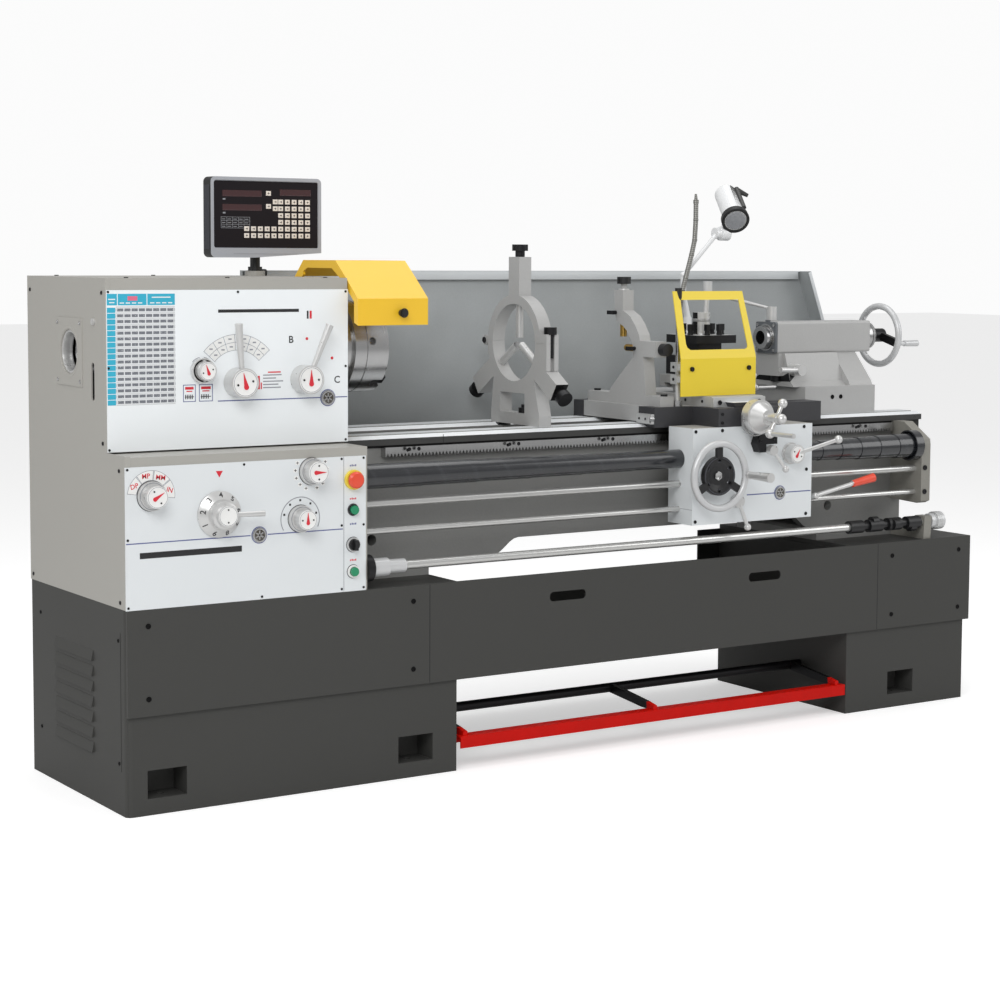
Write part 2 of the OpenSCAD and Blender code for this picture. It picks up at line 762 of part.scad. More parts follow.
module chuck() color("gray") place() {
    // backplate
    difference() {
        bar_x(nose_x - 31, nose_x - seam, axis_y, axis_z, chuck_d / 2 - 10);
        bar_x(nose_x - 32, nose_x - 21 + seam, axis_y, axis_z, 53 + seam);
        bar_x(nose_x - 32, nose_x + 1, axis_y, axis_z, 30);
    }
    difference() {
        bar_x(nose_x, nose_x + chuck_length, axis_y, axis_z, chuck_d / 2);
        bar_x(nose_x - 1, nose_x + chuck_length + 1, axis_y, axis_z, 30);
        for (a = jaw_angles) at_jaw(a)
            translate([jaw_x, -jaw_width / 2, 0]) cube([chuck_length, jaw_width, chuck_d]);
        // key sockets between the jaws
        for (a = jaw_angles) at_jaw(a + 60)
            translate([nose_x + 45, 0, chuck_d / 2 - 24]) cylinder(h = 30, r = 9);
        // groove round the body
        difference() {
            bar_x(nose_x + 30, nose_x + 33, axis_y, axis_z, chuck_d / 2 + 1);
            bar_x(nose_x + 29, nose_x + 34, axis_y, axis_z, chuck_d / 2 - 2);
        }
    }
}

module jaw(a) color("silver") place() at_jaw(a) translate([0, jaw_width / 2 - fit, 0]) rotate([90, 0, 0])
    linear_extrude(jaw_width - 2 * fit) polygon([
        [jaw_x + fit, 34], [nose_x + chuck_length + 37, 34], [nose_x + chuck_length + 37, 52],
        [nose_x + chuck_length + 25, 52], [nose_x + chuck_length + 25, 76], [nose_x + chuck_length + 12, 76],
        [nose_x + chuck_length + 12, chuck_d / 2 - 8], [jaw_x + fit, chuck_d / 2 - 8]
    ]);

module jaw_1() jaw(jaw_angles[0]);

module jaw_2() jaw(jaw_angles[1]);

module jaw_3() jaw(jaw_angles[2]);

hood_left = head_right + 4;

module hood_solid(shrink) polygon([
    [367 - shrink, axis_z + 166], [325 - shrink, axis_z + 204 - shrink],
    [166 + shrink, axis_z + 204 - shrink],
    [118 + shrink, axis_z + 166 - shrink * 0.4], [60 + shrink, axis_z + 118 - shrink * 0.4],
    [60 + shrink, axis_z + 57]
]);

module chuck_guard() color("gold") place() {
    along_x(hood_left, guard_length) difference() {
        hood_solid(0);
        hood_solid(guard_sheet);
        polygon([[60 + guard_sheet, axis_z + 50], [370, axis_z + 160],
            [367 - guard_sheet, axis_z + 167], [60 + guard_sheet, axis_z + 60]]);
    }
    // folded lips at both ends
    for (x = [hood_left, hood_left + guard_length - guard_sheet]) along_x(x, guard_sheet) difference() {
        hood_solid(0);
        hood_solid(18);
    }
    // side arm and pivot pin
    along_x(hood_left, 2 * guard_sheet) polygon([
        [330, axis_z + 196], [367, axis_z + 166], [guard_pivot_y + 16, guard_pivot_z + 8],
        [guard_pivot_y + 6, guard_pivot_z - 18],
        [guard_pivot_y - 18, guard_pivot_z - 10], [325, axis_z + 170]
    ]);
    bar_x(head_right - 20, hood_left + 12, guard_pivot_y, guard_pivot_z, shaft_r);
    bar_y(hood_left + 114, 44, 62, axis_z + 85, 8);
}

// ---------- rods ----------

module leadscrew() color("silver") place() {
    bar_x(gear_right - 30, bracket_right - 8, rod_y, leadscrew_z, leadscrew_d / 2);
    bar_x(gear_right - 42, gear_right - 30, rod_y, leadscrew_z, leadscrew_d / 2 + 8);
}

module feed_rod() color("silver") place() difference() {
    bar_x(gear_right - 42, bracket_right - 6, rod_y, feed_rod_z, feed_rod_d / 2);
    // keyway
    box(gear_right + 20, bracket_left - 20, rod_y - feed_rod_d / 2 - 1, rod_y - feed_rod_d / 2 + 3,
        feed_rod_z - 2.5, feed_rod_z + 2.5);
}

module control_rod() color("silver") place() {
    bar_x(gear_right - 42, bracket_right - 6, rod_y, control_rod_z, control_rod_d / 2);
    bar_x(gear_right - 36, gear_right - 24, rod_y, control_rod_z, control_rod_d / 2 + 9);
}

stop_rings = [bed_right - 300, bed_right - 232, bed_right - 164, bed_right - 96];

module stop_rod() color("silver") place() {
    bar_x(gear_right - 10, bed_right + 4, stop_rod_y, stop_rod_z, stop_rod_d / 2);
    // disc and stepped sleeve beside the gearbox
    bar_x(gear_right + gap, gear_right + 17, stop_rod_y, stop_rod_z, 31);
    bar_x(gear_right + 17, gear_right + 62, stop_rod_y, stop_rod_z, 21);
    bar_x(gear_right + 62, gear_right + 107, stop_rod_y, stop_rod_z, 16);
    // lobed stop rings, each turned a quarter further
    for (i = [0:3]) {
        bar_x(stop_rings[i], stop_rings[i] + 46, stop_rod_y, stop_rod_z, 17);
        translate([stop_rings[i] + 12, stop_rod_y, stop_rod_z]) rotate([i * 90, 0, 0]) translate([0, 10, 0])
            rotate([0, 90, 0]) cylinder(h = 20, r = 14);
    }
    // knob outside the bracket
    bar_x(bed_right + 4, bed_right + 30, stop_rod_y, stop_rod_z, 24);
    bar_x(bed_right - 14, bed_right + 4, stop_rod_y, stop_rod_z, 20);
}

cover_steps = 6;

// stepped sheath round the leadscrew from x0 (radius r0) to x1 (radius r1)
module sheath(x0, x1, r0, r1) {
    wall = 2;
    last = cover_steps - 1;
    step = (x1 - x0) / cover_steps;
    outer = [for (i = [0:last]) r0 + (r1 - r0) * i / last];
    inner = [for (r = outer) (r1 > r0 ? max(r0, r - wall) : r - wall) - wall];
    translate([x0, rod_y, leadscrew_z]) rotate([0, 90, 0]) rotate_extrude() polygon(concat(
        [for (i = [0:last], k = [0, 1]) [outer[i], step * (i + k)]],
        [for (i = [last:-1:0], k = [1, 0]) [inner[i], step * (i + k)]]
    ));
}

module cover_left() color("black") place() {
    difference() {
        bar_x(gear_right, gear_right + 18, rod_y, leadscrew_z, 34);
        bar_x(gear_right - 1, gear_right + 19, rod_y, leadscrew_z, leadscrew_d / 2 + 1);
    }
    sheath(gear_right + 18, apron_left - gap, 29, 23.5);
}

module cover_right() color("black") place() {
    difference() {
        bar_x(bracket_left - 26, bracket_left, rod_y, leadscrew_z, 41);
        bar_x(bracket_left - 27, bracket_left - 12, rod_y, leadscrew_z, 37);
        bar_x(bracket_left - 13, bracket_left + 1, rod_y, leadscrew_z, leadscrew_d / 2 + 1);
    }
    sheath(apron_right + gap, bracket_left - 12, 25, 32.5);
}

module rod_bracket() color("gainsboro") place() {
    difference() {
        along_x(bracket_left, bracket_right - bracket_left) polygon([
            [web_front, bed_z - 22 - seam], [way_front - 40, bed_z - 22 - seam], [30, bed_z - 66],
            [28, bed_z - 80],
            [28, bed_z - 233], [44, bed_z - 240], [web_front, bed_z - 236]
        ]);
        rod_bores(bracket_left - 1, bracket_right + 1, fit);
    }
    // foot that carries the stop rod
    difference() {
        along_x(bed_right - 42, 26) polygon([
            [8, base_top], [web_front - 14 - seam, base_top], [web_front - 14 - seam, base_top + 12],
            [40, stop_rod_z + 16], [4, stop_rod_z + 16]
        ]);
        bar_x(bed_right - 43, bed_right - 15, stop_rod_y, stop_rod_z, stop_rod_d / 2 + fit);
    }
}

// ---------- carriage ----------

bridge_right = apron_left + 342;

module saddle() color("dimgray") place() {
    difference() {
        union() {
            // front wing with its V shoe
            box(saddle_left, saddle_right, 110, way_front + 38, bed_z + fit, saddle_top);
            box(saddle_left, saddle_right, way_front + gap, way_front + 38, bed_z - vee_height + fit,
                bed_z + 1);
            box(saddle_left, saddle_right, 110, way_front - gap, bed_z - 8, bed_z + 1);
            // rear wing with its skirt
            box(saddle_left + 8, saddle_right, way_back - 34, way_back + 10, bed_z + fit, saddle_top);
            box(saddle_left + 8, saddle_right, way_back + gap, way_back + 10, bed_z - 20, bed_z + 1);
            // bridge between the wings
            box(saddle_left + 10, bridge_right, 130, way_back, bed_z + 3, saddle_top);
            // front table over the apron
            box(cross_x - 100, cross_x + 102, 0, 111, apron_top + seam, saddle_top);
            // cross-slide dovetail
            along_y(cross_front - 40, way_back - cross_front + 40)
                translate([cross_x, saddle_top]) dovetail(38, 46, 13, 0);
            // cross screw flange
            bar_y(cross_x, -14, 1, cross_screw_z, 25);
            // wiper blocks
            box(saddle_left - 10, saddle_left + 1, 112, way_front + 30, bed_z + 1, bed_z + 26);
            bar_x(saddle_left - 14, saddle_left + 1, 119, bed_z + 14, 9);
        }
        along_x(saddle_left - 1, saddle_length + 2) translate([front_vee, bed_z]) vee(fit);
        bar_y(cross_x, -15, 90, cross_screw_z, shaft_r + fit);
        bar_z(guard_rod_x, guard_rod_y, saddle_top - 25, saddle_top + 1, 6 + fit);
        bar_z(lamp_x, lamp_y, saddle_top - 30, saddle_top + 1, 9 + fit);
    }
}

wheel_at = [apron_left + 52, apron_top - 117];
feed_at = [apron_left + 315, apron_top - 75];
nut_at = [apron_left + 227, apron_top - 61];
select_at = [apron_left + 137, apron_top - 188];
apron_controls = [wheel_at, feed_at, nut_at, select_at];

module apron() color("gainsboro") place() {
    difference() {
        union() {
            box(apron_left, apron_right, 0, apron_depth, apron_bottom, apron_top);
            // bosses for the controls
            bar_y(feed_at[0], -4, 1, feed_at[1], 28);
            bar_y(wheel_at[0], -8, 1, wheel_at[1], 34);
        }
        box(apron_left + head_wall, apron_right - head_wall, head_wall + 4, apron_depth + 1,
            apron_bottom + head_wall, apron_top - head_wall);
        for (x = [apron_left - 1, apron_right - head_wall - 1]) rod_bores(x, x + head_wall + 2, 2 * fit);
        control_holes(apron_controls, -9, head_wall + 5);
    }
    // clamp block on the apron face
    difference() {
        along_y(-26, 26 - seam) polygon([
            [apron_left + 184, apron_top - 44], [apron_left + 194, apron_top - 66],
            [apron_left + 214, apron_top - 66],
            [apron_left + 214, apron_top - 46], [apron_left + 250, apron_top - 46],
            [apron_left + 250, apron_top - 21],
            [apron_left + 194, apron_top - 21]
        ]);
        bar_y(nut_at[0], -27, 1, nut_at[1], shaft_r + gap);
    }
}

module carriage_handwheel() color("gainsboro") place()
    on_front(wheel_at[0], -8 - gap, wheel_at[1]) {
        shaft_front(18);
        // dished hub and rim turned as one wheel
        difference() {
            rotate_extrude()
                polygon([[0, 0], [24, 0], [24, 14], [49, 22], [49, 34], [40, 34], [24, 26], [0, 26]]);
            for (a = [30:60:330]) rotate([0, 0, a]) translate([37, 0, 10]) cylinder(h = 40, r = 5);
        }
        for (a = [90, 210, 330]) rotate([0, 0, a]) translate([44, -9, 26])
            cube([handwheel_d / 2 - 52, 18, 9]);
        translate([0, 0, 35]) rotate_extrude() translate([handwheel_d / 2 - 9, 0]) circle(9);
        translate([handwheel_d / 2 - 10, 0, 30]) cylinder(h = 22, r = 5);
        translate([handwheel_d / 2 - 10, 0, 52]) cylinder(h = 85, r1 = 9, r2 = 12);
    }

module cross_slide() color("gray") place() {
    difference() {
        union() {
            box(cross_x - cross_width / 2, cross_x + cross_width / 2, cross_front,
                cross_front + cross_length, saddle_top + gap, saddle_top + 26);
            // front cap
            box(cross_x - cross_width / 2 - 2, cross_x + cross_width / 2 + 2, cross_front - 8,
                cross_front + 1, saddle_top + gap, saddle_top + 24);
        }
        along_y(cross_front - 9, cross_length + 10)
            translate([cross_x, saddle_top]) dovetail(38, 46, 13, fit);
    }
    // swivel base and lower slide of the compound
    bar_z(post_x, slide_y, saddle_top + 25, saddle_top + 38, 72);
    box(cross_x - 40, cross_x + 120, slide_y - 52, slide_y + 52, saddle_top + 37, slide_z - 13);
    along_x(cross_x - 40, 160) translate([slide_y, slide_z - 13]) dovetail(30, 36, 10, 0);
}

module cross_crank() color("silver") place()
    on_front(cross_x, -14 - gap, cross_screw_z) {
        shaft_front(80);
        cylinder(h = 5, r = 30);
        translate([0, 0, 4]) cylinder(h = 26, r = 43);
        translate([0, 0, 29]) cylinder(h = 30, r1 = 38, r2 = 19);
        cylinder(h = 112, r = 11);
        translate([0, 0, 90]) rotate([0, 0, -28]) ball_crank(42, 12, 92);
        translate([0, 0, 110]) sphere(13);
    }

module top_slide() color("gray") place() difference() {
    box(cross_x - 60, cross_x + 170, slide_y - 55, slide_y + 55, slide_z - 12, slide_z + 18);
    along_x(cross_x - 61, 232) translate([slide_y, slide_z - 13]) dovetail(30, 36, 10, fit);
    bar_x(cross_x + 120, cross_x + 171, slide_y, slide_z + 9, 5 + fit);
    bar_z(post_x, slide_y, slide_z + 4, slide_z + 19, 12 + fit);
}

module top_crank() color("silver") place() translate([cross_x + 170 + gap, slide_y, slide_z + 9])
    rotate([0, 90, 0]) {
    translate([0, 0, -40]) cylinder(h = 42, r = 5);
    cylinder(h = 26, r = 25);
    translate([0, 0, 25]) cylinder(h = 10, r = 12);
    translate([0, 0, 36]) rotate([0, 0, 65]) ball_crank(34, 9, 26);
}

module tool_post() color("dimgray") place() {
    half = post_side / 2;
    bar_z(post_x, slide_y, slide_z + 6, slide_z + 20, 12);
    difference() {
        box(post_x - half, post_x + half, slide_y - half, slide_y + half, slide_z + 18 + gap, post_top);
        // tool slots on the four sides
        difference() {
            box(post_x - 80, post_x + 80, slide_y - 80, slide_y + 80, post_top - 54, post_top - 21);
            box(post_x - 38, post_x + 38, slide_y - 38, slide_y + 38, post_top - 55, post_top - 20);
        }
    }
    // square-headed tool screws
    for (s = [-1, 1], t = [-1, 1], q = [0, 1])
        translate([post_x + s * (q == 0 ? 51 : 20), slide_y + t * (q == 0 ? 20 : 51), post_top - 1]) {
            cylinder(h = 14, r = 7);
            translate([-6, -6, 12]) cube([12, 12, 17]);
        }
    // clamp hub and lever
    bar_z(post_x, slide_y, post_top - 1, post_top + 58, 23);
    rod_between([post_x + 11, slide_y - 4, post_top + 50], [post_x + 16, slide_y - 5, post_top + 118], 7, 6);
    bar_z(post_x + 16, slide_y - 5, post_top + 114, post_top + 139, 12);
}

guard_rod_x = apron_left + 45;
guard_rod_y = 126;
guard_y = 84;
guard_left = apron_left + 24;
guard_right = guard_left + tool_guard_width;
guard_bottom = saddle_top + 27;
guard_bend = saddle_top + 122;
guard_top = saddle_top + 292;

module tool_guard() color("gold") place() {
    // bent sheet with a window in the upper half
    difference() {
        along_x(guard_left, tool_guard_width) polygon([
            [guard_y, guard_bottom], [guard_y + guard_sheet, guard_bottom],
            [guard_y + guard_sheet, guard_bend],
            [guard_y + guard_sheet + 38, guard_top], [guard_y + 38, guard_top], [guard_y, guard_bend]
        ]);
        along_y(guard_y - 5, 80) polygon([
            [guard_left + 21, guard_bend + 38], [guard_left + 24, guard_bend + 28],
            [guard_left + 34, guard_bend + 22],
            [guard_right - 30, guard_bend + 22], [guard_right - 23, guard_bend + 26],
            [guard_right - 22, guard_bend + 32],
            [guard_right - 33, guard_top - 22], [guard_left + 21, guard_top - 22]
        ]);
        along_y(guard_y - 5, 80) polygon([
            [guard_right + 1, guard_bend], [guard_right + 1, guard_top + 1], [guard_right - 18, guard_top + 1]
        ]);
    }
    // hinge rod, blocks and arms
    bar_z(guard_rod_x, guard_rod_y, saddle_top - 24, guard_bend - 10, 6);
    bar_z(guard_rod_x, guard_rod_y, saddle_top + gap, saddle_top + 14, 13);
    bar_z(guard_rod_x, guard_rod_y, guard_bend - 10, guard_top - 20, 6);
    for (z = [guard_bottom + 30, guard_bend - 34]) {
        box(guard_rod_x - 13, guard_rod_x + 13, guard_rod_y - 13, guard_rod_y + 13, z, z + 24);
        box(guard_rod_x - 8, guard_rod_x + 8, guard_y + guard_sheet - 1, guard_rod_y, z + 4, z + 20);
    }
    bar_z(guard_rod_x, guard_rod_y, guard_top - 21, guard_top + 8, 9);
    for (x = [guard_left + 34, guard_right - 24]) bar_y(x, guard_y - 4, guard_y + 1, guard_bend - 26, 6);
}

rest_x = apron_left - 13;
rest_thick = 34;

module follow_rest() color("silver") place() {
    mid = rest_x + rest_thick / 2;
    finger_z = axis_z - 18;
    // foot across the saddle, column, finger block and arched stem
    box(rest_x, rest_x + 42, 120, 439, saddle_top, saddle_top + 26);
    along_x(rest_x, rest_thick) polygon([
        [182, saddle_top + 25], [196, finger_z - 20], [143, finger_z - 20], [143, finger_z + 20],
        [210, finger_z + 20],
        [214, axis_z + 17], [232, axis_z + 42], [254, axis_z + 64], [285, axis_z + 78], [285, axis_z + 130],
        [325, axis_z + 130], [321, axis_z + 78], [311, axis_z + 48], [284, axis_z + 38], [267, axis_z + 26],
        [253, axis_z + 8], [240, finger_z + 6], [238, finger_z - 22], [274, axis_z - 70], [331, axis_z - 119],
        [344, saddle_top + 25]
    ]);
    // front and top fingers with their knobs
    bar_y(mid, 130, 290, finger_z, 9);
    bar_y(mid, 134, 144, finger_z, 12);
    bar_y(mid, 112, 135, finger_z, 16);
    bar_z(mid, axis_y, axis_z + 10, axis_z + 131, 9);
    bar_z(mid, axis_y, axis_z + 129, axis_z + 148, 8);
    bar_z(mid, axis_y, axis_z + 146, axis_z + 164, 18);
    // wing screws on the fingers and the two foot bolts
    for (at = [[316, axis_z + 72], [232, finger_z]]) {
        bar_x(rest_x - 15, rest_x + 1, at[0], at[1], 5);
        box(rest_x - 19, rest_x - 14, at[0] - 14, at[0] + 14, at[1] - 5, at[1] + 5);
    }
    for (y = [133, 425]) bar_z(rest_x + 21, y, saddle_top + 25, saddle_top + 31, 9);
}

lamp_x = apron_left + 322;
lamp_y = 447;
elbow_x = lamp_x + 84;
elbow_y = lamp_y - 16;
elbow_z = saddle_top + 443;
head_turn = 245.5;
head_tilt = 122;

module lamp() color("gainsboro") place() {
    mast_x = lamp_x - 16;
    bar_z(lamp_x, lamp_y, saddle_top - 28, saddle_top + 1, 9);
    bar_z(lamp_x, lamp_y, saddle_top + gap, saddle_top + 26, 20);
    bar_z(lamp_x, lamp_y, saddle_top + 25, saddle_top + 214, 11);
    rod_between([lamp_x, lamp_y, saddle_top + 212], [mast_x, lamp_y, saddle_top + 274], 9, 8);
    bar_z(mast_x, lamp_y, saddle_top + 272, elbow_z - 114, 8);
    translate([mast_x, lamp_y, elbow_z - 114]) sphere(9);
    rod_between([mast_x, lamp_y, elbow_z - 114], [elbow_x - 4, elbow_y, elbow_z - 6], 6, 6);
    // elbow and neck
    bar_x(elbow_x - 8, elbow_x + 12, elbow_y, elbow_z, 15);
    bar_x(elbow_x + 10, elbow_x + 38, elbow_y, elbow_z - 1, 19);
    rod_between([elbow_x + 24, elbow_y, elbow_z + 4], [elbow_x + 48, elbow_y, elbow_z + 50], 13, 13);
    // head, turned down towards the work
    translate([elbow_x + 34, elbow_y - 39, elbow_z + 35]) rotate([0, 0, head_turn])
        rotate([0, head_tilt, 0]) {
        translate([0, 0, -140]) cylinder(h = 128, r = 30);
        translate([0, 0, -148]) cylinder(h = 10, r = 24);
        translate([0, 0, -14]) cylinder(h = 14, r = 38);
    }
    // side strap with its clip
    rod_between([elbow_x + 76, elbow_y - 22, elbow_z + 70],
        [elbow_x + 101, elbow_y + 43, elbow_z + 124], 7, 7);
    rod_between([elbow_x + 99, elbow_y + 43, elbow_z + 121],
        [elbow_x + 127, elbow_y + 24, elbow_z + 105], 9, 5);
}

module coolant_hose() color("silver") place() {
    x = lamp_x - 38;
    y = lamp_y - 8;
    z = saddle_top + 214;
    bends = [
        [x, y, z], [x - 1, y - 19, z + 75], [x + 9, y - 19, z + 108], [x + 28, y - 19, z + 170],
        [x + 38, y - 19, z + 210], [x + 41, y - 19, z + 264], [x + 41, y - 19, z + 310]
    ];
    bar_z(x, y, saddle_top, saddle_top + 40, 16);
    bar_z(x, y, saddle_top + 38, z, 6.5);
    for (i = [0:len(bends) - 2]) {
        rod_between(bends[i], bends[i + 1], 6.5, 6.5);
        translate(bends[i]) sphere(7.2);
    }
    // nozzle
    bar_z(x + 41, y - 19, z + 308, z + 318, 7.5);
    rod_between([x + 41, y - 19, z + 317], [x + 40, y - 19, z + 334], 5, 3);
}

module feed_lever() color("silver") place()
    on_front(feed_at[0], -4 - gap, feed_at[1]) {
        shaft_front(16);
        cylinder(h = 26, r = 24);
        ball_lever(16, 20, 78, 127, 5, 11);
    }

module half_nut_lever() color("silver") place()
    on_front(nut_at[0], -26 - gap, nut_at[1]) {
        shaft_front(40);
        cylinder(h = 16, r = 13);
        ball_lever(-53, 10, 84, 63, 4.5, 9);
    }

module feed_select_lever() color("silver") place()
    on_front(select_at[0], -gap, select_at[1]) {
        shaft_front(14);
        cylinder(h = 18, r = 16);
        ball_lever(-72, 12, 80, 71, 5, 9);
    }

start_x = apron_right + gap;

module start_lever() color("silver") place() {
    difference() {
        union() {
            bar_x(start_x, start_x + 34, rod_y, control_rod_z, 17);
            rod_between([start_x + 17, rod_y, control_rod_z], [start_x + 22, 8, control_rod_z + 15], 8, 8);
            rod_between([start_x + 20, 8, control_rod_z + 15], [start_x + 148, 6, control_rod_z + 40], 6, 6);
            rod_between([start_x + 146, 6, control_rod_z + 39.6],
                [start_x + 218, 4, control_rod_z + 53], 9, 12);
            translate([start_x + 22, 8, control_rod_z + 15]) sphere(8.5);
        }
        bar_x(start_x - 1, start_x + 35, rod_y, control_rod_z, control_rod_d / 2 + fit);
    }
}

// ---------- steady rest ----------

steady_left = steady_x - steady_thick / 2;
steady_split = axis_z + 2;
steady_hinge_y = axis_y + 132;
finger_dip = 33;

module steady_arm_outline(angle) translate([axis_y, axis_z]) rotate(angle) translate([steady_inner + 10, -24])
    square([107, 48]);

module steady_ring_outline() difference() {
    translate([axis_y, axis_z]) circle(steady_outer);
    translate([axis_y, axis_z]) circle(steady_inner);
}

module swing_bolt_slot() box(steady_x - 6, steady_x + 6, axis_y - 150, axis_y - 138,
    steady_split - 70, steady_split + 30);

module finger(angle, tip) translate([steady_x, axis_y, axis_z]) rotate([angle - 90, 0, 0]) {
    translate([0, 0, tip]) cylinder(h = steady_inner + 118 - tip, r = 10);
    translate([0, 0, steady_inner + 117 + gap]) cylinder(h = 16, r = 12);
    translate([0, 0, steady_inner + 132]) cylinder(h = 16, r = 20);
}

module steady_base() color("silver") place() {
    difference() {
        along_x(steady_left, steady_thick) difference() {
            union() {
                steady_ring_outline();
                steady_arm_outline(180 + finger_dip);
                steady_arm_outline(-finger_dip);
                polygon([[way_front + 48, bed_z + fit], [way_back - 62, bed_z + fit],
                    [way_back - 62, bed_z + 26],
                    [axis_y + 92, bed_z + 120], [axis_y - 92, bed_z + 120], [way_front + 48, bed_z + 26]]);
                // shoe on the rear V
                translate([rear_vee - 18, bed_z - vee_height + fit]) square([37, vee_height]);
                // front clamp lug
                translate([axis_y - 148, steady_split - 68]) square([36, 68]);
            }
            translate([axis_y, axis_z]) circle(steady_inner);
            translate([axis_y - 250, steady_split - gap / 2]) square([500, 300]);
            // cast window in the foot
            translate([axis_y - 51, bed_z + 29]) square([112, 50]);
            translate([rear_vee, bed_z]) vee(fit);
        }
        swing_bolt_slot();
        bar_x(steady_left - 1, steady_left + steady_thick + 1, steady_hinge_y, steady_split, 13 + gap);
        for (a = [180 + finger_dip, -finger_dip]) translate([steady_x, axis_y, axis_z]) rotate([a - 90, 0, 0])
            translate([0, 0, steady_inner - 10]) cylinder(h = 130, r = 10.3);
        // clamp bolt
        bar_z(steady_x, axis_y - 20, bed_z - 10, bed_z + 30, 7);
    }
    for (a = [180 + finger_dip, -finger_dip]) finger(a, 12);
    // middle eye of the hinge
    difference() {
        along_x(steady_left + 10, steady_thick - 20) {
            translate([steady_hinge_y, steady_split]) circle(13);
            translate([axis_y + 105, steady_split - 34]) square([30, 30]);
        }
        bar_x(steady_left, steady_left + steady_thick, steady_hinge_y, steady_split, 6 + fit);
    }
    // clamp bolt with its bed clamp underneath
    bar_z(steady_x, axis_y - 20, bed_z - 52, bed_z + 50, 6);
    bar_z(steady_x, axis_y - 20, bed_z + 29 + seam, bed_z + 42, 13);
    box(steady_x - 22, steady_x + 22, axis_y - 90, axis_y + 70, bed_z - 62, bed_z - 36);
}

module steady_top() color("silver") place() {
    difference() {
        along_x(steady_left, steady_thick) difference() {
            union() {
                steady_ring_outline();
                steady_arm_outline(90);
                translate([axis_y - 148, steady_split]) square([36, 23]);
                translate([steady_hinge_y, steady_split]) circle(13);
                translate([axis_y + 96, steady_split + gap / 2]) square([steady_hinge_y - axis_y - 96, 12]);
            }
            translate([axis_y, axis_z]) circle(steady_inner);
            translate([axis_y - 250, steady_split - 300 + gap / 2])
                square([250 + steady_hinge_y - axis_y - 12, 300]);
        }
        swing_bolt_slot();
        // room for the middle eye
        bar_x(steady_left + 10 - gap, steady_left + steady_thick - 10 + gap, steady_hinge_y,
            steady_split, 13 + gap);
        translate([steady_x, axis_y, axis_z]) translate([0, 0, steady_inner - 10])
            cylinder(h = 130, r = 10.3);
    }
    finger(90, 12);
    // hinge pin and clamp screw
    bar_x(steady_left - 3, steady_left + steady_thick + 3, steady_hinge_y, steady_split, 6);
    bar_z(steady_x, axis_y - 144, steady_split - 36, steady_split + 24, 4.5);
    bar_z(steady_x, axis_y - 138, steady_split + 22, steady_split + 40, 16);
}

// ---------- tailstock ----------

tail_y0 = axis_y - barrel_side / 2;
tail_belly = axis_z - barrel_side / 2;
lock_x = tail_front + 13;
lock_z = tail_belly + barrel_side + 4;
barrel_right = tail_front + barrel_length;
clamp_x = tail_front + 30;
clamp_z = bed_z + 120;

module tailstock() color("gray") place() {
    difference() {
        union() {
            // base on the inner ways
            box(tail_base_left, tail_base_right, way_front + 46, way_back - 46, bed_z + fit, tail_base_top);
            box(tail_base_left, tail_base_right, rear_vee - 18, rear_vee + 19, bed_z - vee_height + fit,
                bed_z + 1);
            // waisted column with a flared rear buttress
            along_x(tail_front + 15, 186) polygon([
                [axis_y - 95, tail_base_top - 1], [axis_y - 80, tail_base_top + 13],
                [axis_y - 55, tail_belly + 1],
                [axis_y + 55, tail_belly + 1], [axis_y + 80, tail_base_top + 13],
                [axis_y + 95, tail_base_top - 1]
            ]);
            along_x(tail_front + 200, 82) polygon([
                [axis_y - 112, tail_base_top - 1], [axis_y - 106, tail_base_top + 12],
                [axis_y - 38, tail_belly + 1],
                [axis_y + 38, tail_belly + 1], [axis_y + 106, tail_base_top + 12],
                [axis_y + 112, tail_base_top - 1]
            ]);
            along_x(tail_front, barrel_length) translate([tail_y0, tail_belly])
                rounded_rect(barrel_side, barrel_side, 7);
            // front plate and the nose block under it
            along_x(tail_front - 7, 8) translate([tail_y0 + 1, tail_belly + 1])
                rounded_rect(barrel_side - 2, barrel_side - 2, 5);
            box(tail_front, tail_front + 20, axis_y - 48, axis_y + 48, tail_belly - 60, tail_belly + 1);
            bar_z(tail_front + 15, axis_y - 20, tail_belly - 76, tail_belly - 59, 15);
            // clamp lever boss and the seat of the quill lock
            bar_y(clamp_x, axis_y - 96, axis_y, clamp_z, 17);
            bar_z(lock_x, axis_y, tail_belly + barrel_side - 1, lock_z, 17);
        }
        bar_x(tail_front - 8, barrel_right + 1, axis_y, axis_z, quill_d / 2 + fit);
        along_x(tail_base_left - 1, tail_base_right - tail_base_left + 2) translate([rear_vee, bed_z])
            vee(fit);
        bar_z(lock_x, axis_y, axis_z + quill_d / 2, lock_z + 1, 6 + fit);
        bar_y(clamp_x, axis_y - 97, axis_y - 60, clamp_z, shaft_r + fit);
    }
    // rear cap that carries the screw
    difference() {
        bar_x(barrel_right + seam, barrel_right + 18, axis_y, axis_z, 38);
        bar_x(barrel_right, barrel_right + 19, axis_y, axis_z, 10 + fit);
    }
    // bed clamp plate and its bolt
    bar_z(tail_base_left + 125, axis_y, bed_z - 50, bed_z + 2, 9);
    box(tail_base_left + 85, tail_base_left + 165, axis_y - 90, axis_y + 70, bed_z - 62, bed_z - 36);
}

module quill() color("silver") place() difference() {
    bar_x(tail_front - 26, tail_front + 240, axis_y, axis_z, quill_d / 2);
    translate([tail_front - 26, axis_y, axis_z]) rotate([0, 90, 0]) translate([0, 0, -0.01])
        cylinder(h = 120, r1 = taper_d / 2, r2 = taper_d / 2 - 3.1);
    bar_x(tail_front + 93, tail_front + 241, axis_y, axis_z, 13);
}

